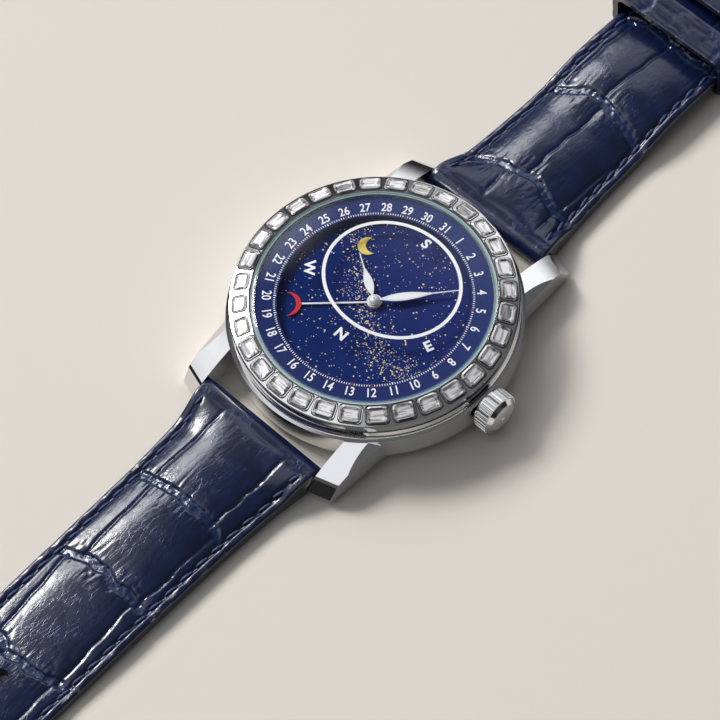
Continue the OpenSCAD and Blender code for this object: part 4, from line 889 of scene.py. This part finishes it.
LONG_ROWS = [
    [(-6.7, 38.9), (-2.2, 38.5), (3.0, 38.4), (9.8, 39.5)],
    [(-7.0, 54.2), (-2.9, 53.0), (2.3, 53.4), (8.5, 53.8)],
    [(-5.6, 68.9), (-0.9, 70.1), (3.7, 69.4), (7.5, 68.4)],
    [(-9, 84.0), (-2, 85.1), (4, 84.3), (9, 84.9)],
    [(-9, 98.4), (-3, 97.6), (3, 98.5), (9, 97.9)],
    [(-8, 110.4), (0, 111.2), (8, 110.2)],
    [(-8, 121.8), (0, 122.6), (8, 121.9)],
]
LONG_LINES = [
    [(24.5, -5.4), (38.6, -5.7)], [(24.5, 6.1), (38.7, 5.6)],
    [(39.6, -4.9), (53.4, -4.5)], [(39.8, 6.8), (53.6, 6.4)],
    [(54.6, -6.4), (68.9, -5.2)], [(54.5, 5.7), (68.8, 6.5)],
    [(70.2, -2.6), (84.2, -2.9)], [(69.6, 5.9), (84.2, 6.2)],
    [(85.6, -5.6), (97.9, -5.9)], [(85.5, 3.4), (98.0, 3.0)],
    [(98.9, -0.4), (110.4, 0.2)], [(99.0, 6.0), (110.2, 5.6)],
    [(112.0, -4.2), (121.9, -3.9)], [(111.8, 4.4), (121.9, 4.6)],
    [(123.4, 0.2), (133.5, 0.0)],
]


# Embossing: half width, slope and depth of a row's groove, the sharp slot on its rim, the
# fine lines between rows, the swell of each scale, and the creases close to the rows
ROW_HALF, ROW_SLOPE, ROW_DEPTH = 0.3, 0.45, 0.22
SLOT_AT, SLOT_W, SLOT_DEPTH = 0.5, 0.17, 0.15
LINE_W, LINE_DEPTH = 0.24, 0.17
DOME_H, DOME_BY_ROW, DOME_BY_LINE = 0.2, 2.0, 1.7
CREASE_DEPTH, FINE_CREASE_DEPTH, CREASE_REACH, CREASE_FAR = 0.09, 0.05, 2.4, 0.12
RIB_H = 0.18
RELIEF_DROP = 0.36
# Padding and edge: where the swell starts and its shape, the sunk seam with its puckers, the
# edge's rounding, and the fold where the leather turns round the spring bar
CROWN_FROM, CROWN_POWER = 1.2, 2.4
SEAM_W, SEAM_DEPTH = 0.3, 0.26
PUCKER_INSET, PUCKER_W, PUCKER_H, PUCKER_ROUGH = 0.75, 0.35, 0.1, 0.16
LIP_W, LIP_DROP = 0.35, 0.22
FOLD_Y, FOLD_W, FOLD_DEPTH = 24.3, 0.3, 0.18


class Half:
    """One half of the strap: its outline, its heights and its embossing."""

    def __init__(self, rows, lines, end_y, tip, lift, seed):
        self.rows, self.lines = rows, lines
        self.end_y, self.tip, self.lift, self.seed = end_y, tip, lift, seed
        if tip:
            y = self.tip_ys(60, 0.6)
            self.tip_outline = mirrored(np.column_stack([self.half(y), y]))

    def tip_ys(self, count, power):
        return self.end_y - TIP_L + TIP_L * np.linspace(0, 1, count) ** power

    def tip_share(self, y):
        """0 up to where a rounded tip starts, and 1 at its end."""
        return np.clip((y - self.end_y + TIP_L) / TIP_L, 0, 1) * self.tip

    def half(self, y):
        round_off = (self.tip_share(y) * TIP_END) ** TIP_POWER
        return half_w(y) * np.sqrt(np.maximum(0, 1 - round_off))

    def low(self, y):
        return STRAP_BOTTOM + self.lift * ease((y - LIFT_FROM) / LIFT_L)

    def thickness(self, y):
        pad = (PAD_H - STRAP_H) * (1 - ease((y - PAD_FROM) / PAD_L))
        return (STRAP_H + pad) * (1 - TIP_THINNER * self.tip_share(y))

    def inset(self, x, y):
        """Distance from the strap's edge, inwards."""
        d = half_w(y) - np.abs(x)
        near = y > self.end_y - TIP_L - 3
        if self.tip and np.any(near):
            p = np.column_stack([x[near], y[near]])
            gap = np.linalg.norm(p[:, None] - self.tip_outline[None], axis=2).min(1)
            d[near] = np.minimum(d[near], gap)
        return np.maximum(d, 0)

    def relief(self, x, y):
        """Height of the embossing, and how deep in a groove each point lies (0 to 1)."""
        def wave(across, along, seed, shift=0.0):
            return value_noise(x * across + shift, y * along, self.seed + seed)

        wobble = (wave(0.5, 0.5, 0, 9) - 0.5) * 0.7
        fine = (wave(1.7, 1.7, 1) - 0.5) * 0.25
        row_gap = np.min([np.abs(y + wobble + fine - soft_line(x, row)) for row in self.rows], 0)
        line_gap = np.full(x.shape, 50.0)
        for (y0, x0), (y1, x1) in self.lines:
            gap = np.abs(x + wobble * 0.6 - (x0 + (x1 - x0) * (y - y0) / (y1 - y0)))
            outside = np.maximum(0, np.maximum(y0 - y, y - y1))
            line_gap = np.minimum(line_gap, np.hypot(gap, outside * 1.5))
        row = 1 - ease((row_gap - ROW_HALF) / ROW_SLOPE)
        slot = peak(row_gap - SLOT_AT, SLOT_W)
        line = peak(line_gap, LINE_W)
        dome = 2 - np.exp(-row_gap / DOME_BY_ROW) - np.exp(-line_gap / DOME_BY_LINE)
        slant = wave(0.35, 0.12, 2, 3) * 2.0
        ridge = np.abs(2 * wave(1.15, 0.3, 3, slant) - 1)
        ridge2 = np.abs(2 * wave(2.3, 0.5, 4, slant) - 1)
        crease = CREASE_DEPTH * peak(ridge, 0.16) + FINE_CREASE_DEPTH * peak(ridge2, 0.2)
        crease *= (CREASE_FAR + (1 - CREASE_FAR) * peak(row_gap, CREASE_REACH)) * (1 - row)
        ribs = (wave(2.1, 1.6, 5) - 0.5) * RIB_H * row
        height = DOME_H * dome - ROW_DEPTH * row - SLOT_DEPTH * slot - LINE_DEPTH * line \
            - crease + ribs
        return height, np.clip(row + 0.6 * line, 0, 1)

    def top(self, x, y):
        """Height of the upper face above the strap's underside, and the groove depth."""
        inset = self.inset(x, y)
        h = self.thickness(y)
        start = ease((y - BAR_Y - 1) / 6)
        edge = np.minimum(h - 0.15, h * 0.93 * (1 - start)
                          + np.minimum(STITCH_EDGE_H, h * EDGE_SHARE) * start)
        inner = np.clip((inset - CROWN_FROM) / (half_w(y) - CROWN_FROM), 0, 1)
        crown = (h - edge) * (1 - (1 - inner) ** CROWN_POWER)
        relief, groove = self.relief(x, y)
        calm = (0.35 + 0.65 * ease((inset - 0.9) / 1.6)) * ease((y - BAR_Y) / 3)
        seam = SEAM_DEPTH * peak(inset - SEAM_INSET, SEAM_W) * ease((y - 24.8) / 1.2)
        pucker = PUCKER_H * np.abs(np.sin(np.pi * y / STITCH_PITCH)) \
            + PUCKER_ROUGH * (value_noise(x * 1.3, y * 0.9, self.seed + 6) - 0.5)
        pucker *= peak(inset - PUCKER_INSET, PUCKER_W) * start
        lip = LIP_DROP * (1 - ease(inset / LIP_W))
        fold = FOLD_DEPTH * peak(y - FOLD_Y - 0.15 * np.sin(x * 0.8), FOLD_W) * (1 - ease(y - 25))
        z = edge + crown - seam + pucker - lip - fold + (relief - RELIEF_DROP) * calm
        return z, groove * calm


MESH_COLUMNS = 100
MESH_STEP = 0.23
RIM_W = 0.3
UNDER_COLUMNS = 12


def strap_sections(half):
    """Rows of points round the strap from its nose to its far end, with groove and edge."""
    across = np.linspace(-1, 1, MESH_COLUMNS)
    nose = BAR_Y - LOOP_R * np.cos(np.linspace(0.1, math.pi / 2, 9))[:-1]
    body = np.arange(BAR_Y, half.end_y - TIP_L * half.tip, MESH_STEP)
    tip = half.tip_ys(46, 0.72) if half.tip else []
    rows = []
    for y in np.concatenate([nose, body, tip]):
        w = float(half.half(y))
        x = across * max(w - RIM_W, 0.02)
        ya = np.full(MESH_COLUMNS, y)
        if y < BAR_Y:
            h = math.sqrt(LOOP_R ** 2 - (BAR_Y - y) ** 2)
            low, groove = BAR_Z - h, np.zeros(MESH_COLUMNS)
            z = 2 * h - 0.12 * (np.abs(across) > 0.97)
        else:
            z, groove = half.top(x, ya)
            t = ease((y - BAR_Y) / 2.3)
            low = (BAR_Z - LOOP_R) * (1 - t) + float(half.low(y)) * t
            z = z * t + 2 * LOOP_R * (1 - t)
        upper = np.column_stack([x, ya, low + z])
        rim = upper[0, 2]
        # The strap's edge, rounded below and above
        side = [(-w + RIM_W, low), (-w + 0.08, low + 0.07), (-w, low + 0.28),
                (-w - 0.03, (low + rim) / 2), (-w, rim - 0.3), (-w + 0.1, rim - 0.08)]
        left = np.array([(px, y, min(max(pz, low), rim)) for px, pz in side])
        under = np.linspace(w - 2 * RIM_W, -w + 2 * RIM_W, UNDER_COLUMNS)
        lower = np.column_stack([under, under * 0 + y, under * 0 + low])
        ends = len(side), len(side) + UNDER_COLUMNS
        on_edge = np.ones(len(side))
        rows.append((np.concatenate([left, upper, left[::-1] * (-1, 1, 1), lower]),
                     np.pad(groove, ends),
                     np.concatenate([on_edge, 0 * across, on_edge, 0 * under])))
    return rows


def cut(piece, *cutters):
    """Cut closed shapes, each given as a list of points and faces, out of a piece."""
    for parts in cutters:
        shape = Shape()
        for part in parts:
            shape.add(*part)
        tool = new_object("cutter", shape.mesh("cutter"))
        step = piece.modifiers.new("cut", "BOOLEAN")
        step.operation = "DIFFERENCE"
        step.solver = "EXACT"
        step.object = tool
        bpy.context.view_layer.update()
        graph = bpy.context.evaluated_depsgraph_get()
        old, piece.data = piece.data, bpy.data.meshes.new_from_object(piece.evaluated_get(graph))
        piece.modifiers.clear()
        piece.data.name = piece.name
        bpy.data.meshes.remove(old)
        bpy.data.objects.remove(tool)


def bar_tool(y, z, r):
    """A round bar across the strap."""
    ring = circle(r, 32)
    points = [(x, y + a, z + b) for x in (-BAR_REACH, BAR_REACH) for a, b in ring]
    return points, solid_faces(2, len(ring))


def strap_piece(name, body, rows, skin, flip):
    points, groove, edge = (np.concatenate(part) for part in zip(*rows))
    faces = [list(f)[::flip] for f in solid_faces(len(rows), len(rows[0][0]))]
    shape = Shape().add(points * (1, flip, 1), faces, groove=groove, edge=edge)
    return shape.piece(name + "_leather", skin, body, "navy_leather", [name], 50)


HOLE_R = 1.0
FIRST_HOLE_Y = 73.0
HOLE_PITCH = 6.5
HOLE_COUNT = 7
BUCKLE_Y = 86.7
BUCKLE_Z = 2.55
BUCKLE_LOOP_R = 1.25
BUCKLE_BORE_R = 0.74
BUCKLE_END_L = 3
NOTCH_HALF = 1.4
NOTCH_FROM = BUCKLE_Y - 2.4


def make_strap_long(skin):
    half = Half(LONG_ROWS, LONG_LINES, -box_mm("strap_long")[0][1], True, 0.0, 5)
    piece = strap_piece("strap_long", "long_half", strap_sections(half), skin, -1)
    holes = [plate(circle(HOLE_R, 40) - (0, FIRST_HOLE_Y + i * HOLE_PITCH), -1, 5)
             for i in range(HOLE_COUNT)]
    cut(piece, holes, [bar_tool(-BAR_Y, BAR_Z, BAR_BORE_R)])
    return half


def make_strap_short(skin):
    """The short half, which ends in a round loop about the buckle's bar."""
    end_y = BUCKLE_Y - BUCKLE_END_L
    half = Half(SHORT_ROWS, SHORT_LINES, end_y, False, SHORT_LIFT, 23)
    rows = strap_sections(half)
    last, groove, edge = rows[-1]
    last_low, last_high = last[:, 2].min(), last[:, 2].max()
    share = (last[:, 2] - last_low) / (last_high - last_low)
    for t in np.linspace(0.08, 1, 14) * 1.25:
        blend = ease(t * 1.12)
        past = max(0, t - 1) / 0.25 * BUCKLE_LOOP_R * 0.985
        y = end_y + BUCKLE_END_L * min(1, t) + past
        reach = math.sqrt(max(BUCKLE_LOOP_R ** 2 - past ** 2, 0.01))
        low = last_low * (1 - blend) + (BUCKLE_Z - reach) * blend
        high = last_high * (1 - blend) + (BUCKLE_Z + reach) * blend
        row = np.column_stack([last[:, 0], np.full(len(last), y), low + (high - low) * share])
        rows.append((row, groove * (1 - blend), edge))
    piece = strap_piece("strap_short", "short_half", rows, skin, 1)
    notch = oblong(NOTCH_HALF, NOTCH_FROM, BUCKLE_Y + 4)
    cut(piece, [plate(notch, -1, 8)], [bar_tool(BAR_Y, BAR_Z, BAR_BORE_R)],
        [bar_tool(BUCKLE_Y, BUCKLE_Z, BUCKLE_BORE_R)])
    return half


STITCH_PITCH = 2.9
STITCH_L = 2.25
STITCH_R = 0.25
STITCH_RISE = 0.17
STITCH_TURNS = 1.6
STITCH_LEAN = 0.12
SEAM_FROM = 24.2
AROUND, ALONG = 10, 13


def seam_path(half, stop_y):
    """The stitches' middles along the seam, and the direction at each."""
    straight = np.arange(SEAM_FROM, half.end_y - TIP_L if half.tip else stop_y, 0.25)
    outline = np.column_stack([half_w(straight), straight])
    if half.tip:
        y = half.tip_ys(120, 0.6)
        outline = mirrored(np.concatenate([outline, np.column_stack([half.half(y), y])]))
    step = unit(np.gradient(outline, axis=0))
    line = outline + np.column_stack([-step[:, 1], step[:, 0]]) * SEAM_INSET
    if half.tip:
        line = line[line[:, 1] < half.end_y - SEAM_INSET * 0.98]
        for _ in range(30):
            line[1:-1] = (line[:-2] + 2 * line[1:-1] + line[2:]) / 4
    run = run_of(line)
    count = int(run[-1] / STITCH_PITCH)
    at = (np.arange(count) + 0.5) * run[-1] / count
    behind, middle, ahead = (point_on(line, run, at + d) for d in (-0.3, 0, 0.3))
    return middle, unit(ahead - behind)


def make_stitches(half, name, body, thread, flip, stop_y=0.0):
    """Twisted stitches: once round a half with a tip, or down both sides of the other."""
    shape = Shape()
    theta = np.arange(AROUND) * math.tau / AROUND
    t = np.linspace(0, 1, ALONG)
    girth = STITCH_R * np.sin(np.pi * np.clip(t, 0.03, 0.97)) ** 0.32
    twist = theta[None] - t[:, None] * math.tau * STITCH_TURNS
    r = girth[:, None] * (1 + 0.16 * np.cos(2 * twist))
    for side in ((1,) if half.tip else (1, -1)):
        middle, ahead = seam_path(half, stop_y)
        rng = np.random.default_rng(half.seed + 60 + side)
        for m, a in zip(middle, ahead):
            lean = STITCH_LEAN + (rng.random() - 0.5) * 0.08
            a = np.array([a[0] - lean * a[1], a[1] + lean * a[0]])
            centre = m + np.outer(t - 0.5, a) * STITCH_L
            top, _ = half.top(*centre.T)
            z = float(np.median(top)) + half.low(m[1]) - 0.02 \
                + STITCH_RISE * np.sin(np.pi * t) ** 0.6
            x = centre[:, :1] - a[1] * r * np.cos(theta)
            y = centre[:, 1:] + a[0] * r * np.cos(theta)
            z = z[:, None] + r * np.sin(theta) * 0.8
            points = np.column_stack([x.ravel() * side, y.ravel() * flip, z.ravel()])
            shape.add(points, [list(f)[::side * flip] for f in solid_faces(ALONG, AROUND)])
    shape.piece(name, thread, body, "navy_leather", (), 60)


KEEPER_H = 1.1
KEEPER_EDGE_R = 0.3
KEEPER_STEP = 0.3
KEEPER_TOP_CORNER = 2.3
KEEPER_LOW_CORNER = 1.5
KEEPER_GROOVES = 4
KEEPER_UNDER = 5


def make_keeper(cad, body, skin, seed):
    """A leather loop with rounded corners and edges, embossed like the strap."""
    (_, y0, z0), (half, y1, z1) = box_mm(cad)
    path = []
    for sx, sz, start in ((1, 1, 0), (-1, 1, 90), (-1, -1, 180), (1, -1, 270)):
        corner = KEEPER_TOP_CORNER if sz > 0 else KEEPER_LOW_CORNER
        middle = (sx * (half - corner), z1 - corner if sz > 0 else z0 + corner)
        path += [circle_point(a, corner) + middle
                 for a in np.radians(np.linspace(start, start + 90, 9))]
    path = np.array(path + [path[0]])
    run = run_of(path)
    rows = int(run[-1] / KEEPER_STEP)
    at = np.arange(rows) * run[-1] / rows
    line = point_on(path, run, at)
    step = unit(np.roll(line, -1, axis=0) - np.roll(line, 1, axis=0))
    outward = np.column_stack([step[:, 1], -step[:, 0]])
    ya = y0 + 0.06 + (y1 - y0 - 0.12) * np.linspace(0, 1, max(16, int((y1 - y0) / 0.25)))
    inset = np.minimum(ya - y0, y1 - ya)
    u, v = np.meshgrid(at, ya, indexing="ij")
    wander = value_noise(u * 0.3, v * 0.3, seed) * 1.6
    groove = np.zeros_like(u)
    for k in range(KEEPER_GROOVES):
        place = run[-1] * (k + 0.35) / KEEPER_GROOVES
        gap = (u - place + wander + run[-1] / 2) % run[-1] - run[-1] / 2
        groove = np.maximum(groove, peak(gap, 0.35))
    ridge = 2 * value_noise(u * 0.35, v * 1.3, seed + 1) - 1
    fall = 1 - np.clip(inset / KEEPER_EDGE_R, 0, 1)
    lip = KEEPER_EDGE_R * (1 - np.sqrt(1 - fall ** 2))
    out = -0.1 * groove - 0.05 * peak(ridge, 0.18) - 0.02 - lip

    def shell(ys, offset):
        return np.stack([line[:, :1] + outward[:, :1] * offset, ys + 0 * line[:, :1],
                         line[:, 1:] + outward[:, 1:] * offset], -1)

    yi = np.linspace(y1 - 0.1, y0 + 0.1, KEEPER_UNDER)
    points = np.concatenate([shell(ya, out), shell(yi, 0 * yi - KEEPER_H)], 1)
    edge = np.concatenate([(inset < 0.22) * 1.0, np.ones(KEEPER_UNDER)])
    shape = Shape().add(points.reshape(-1, 3), tube_faces(rows, points.shape[1], ring=True),
                        groove=np.pad(groove, ((0, 0), (0, KEEPER_UNDER))).ravel(),
                        edge=np.tile(edge, rows))
    shape.piece(cad + "_leather", skin, body, "navy_leather", [cad], 50)


# Floor and light, in metres

FLOOR_HALF = 3.0
SKY_COLOUR = (0.95, 0.97, 1.0)
SKY_BASE = 0.13
# The heights between which the sky brightens, and the share of its light left below them
SKY_RISE = (0.2, 0.55)
SKY_LOW = 0.12
# Soft bright patches of the sky: direction, where each starts and is full, and its strength
SKY_PATCHES = [
    ((-0.38, 0.72, 0.58), 0.90, 0.985, 1.1), ((-0.36, -0.32, 0.875), 0.86, 0.965, 0.85),
    ((-0.72, 0.28, 0.63), 0.965, 0.993, 7.0),
]
LAMP_AT = (-1.6, -0.08, 1.34)
LAMP_SIZE = 0.6
LAMP_POWER = 35.2
LAMP_COLOUR = (1.0, 0.97, 0.93)


def make_floor():
    mesh = bpy.data.meshes.new("floor")
    corners = oblong(FLOOR_HALF, -FLOOR_HALF, FLOOR_HALF)
    mesh.from_pydata([(*corner, 0) for corner in corners], [], [(0, 1, 2, 3)])
    mesh.materials.append(material("floor_paper", FLOOR_PAPER, 0.0, 0.9, Specular_IOR_Level=0.0))
    floor = new_object("floor", mesh)


def make_lamp():
    """A soft key lamp to the left."""
    data = bpy.data.lights.new("key", "AREA")
    data.shape = "RECTANGLE"
    data.size = data.size_y = LAMP_SIZE
    data.energy = LAMP_POWER
    data.color = LAMP_COLOUR
    lamp = new_object("key", data)
    lamp.location = LAMP_AT
    lamp.rotation_euler = (-Vector(LAMP_AT)).to_track_quat("-Z", "Y").to_euler()


def make_sky():
    """A dim pale sky, darkest near the ground, with the bright patches that metal mirrors."""
    world = bpy.data.worlds.new("studio")
    world.use_nodes = True
    bpy.context.scene.world = world
    toward = node(world, "TexCoord").outputs["Generated"]
    level = SKY_BASE
    for direction, outer, inner, strength in SKY_PATCHES:
        near = node(world, "VectorMath", {0: toward, 1: Vector(direction).normalized()},
                    operation="DOT_PRODUCT").outputs["Value"]
        patch = ramp(world, near, outer, inner, 0.0, strength, interpolation_type="SMOOTHSTEP")
        level = maths(world, "ADD", patch, level)
    rise = ramp(world, xyz_of(world, toward)["Z"], *SKY_RISE, SKY_LOW, 1.0,
                interpolation_type="SMOOTHSTEP")
    back = world.node_tree.nodes["Background"]
    back.inputs["Color"].default_value = (*SKY_COLOUR, 1)
    world.node_tree.links.new(maths(world, "MULTIPLY", level, rise), back.inputs["Strength"])


def main():
    bpy.context.scene.view_settings.view_transform = "Standard"
    make_camera()
    dress_nodes()
    white = print_ink("white_print", WHITE)
    make_numerals(white)
    make_track(white, print_ink("red_print", PRINT_RED))
    make_horizon(white)
    make_stars(print_ink("gold_print", STAR_GOLD), print_ink("pale_print", STAR_PALE))
    for hand in HANDS:
        make_inlay(*hand, white)
    make_stones(stone())
    skin = leather("navy_leather")
    thread = matt("navy_thread", THREAD, 0.55)
    make_stitches(make_strap_long(skin), "stitches_long", "long_half", thread, -1)
    make_stitches(make_strap_short(skin), "stitches_short", "short_half", thread, 1,
                  BUCKLE_Y - 4)
    make_keeper("fixed_keeper", "short_half", skin, 71)
    make_keeper("free_keeper", "keeper", skin, 83)
    make_floor()
    make_sky()
    make_lamp()


main()
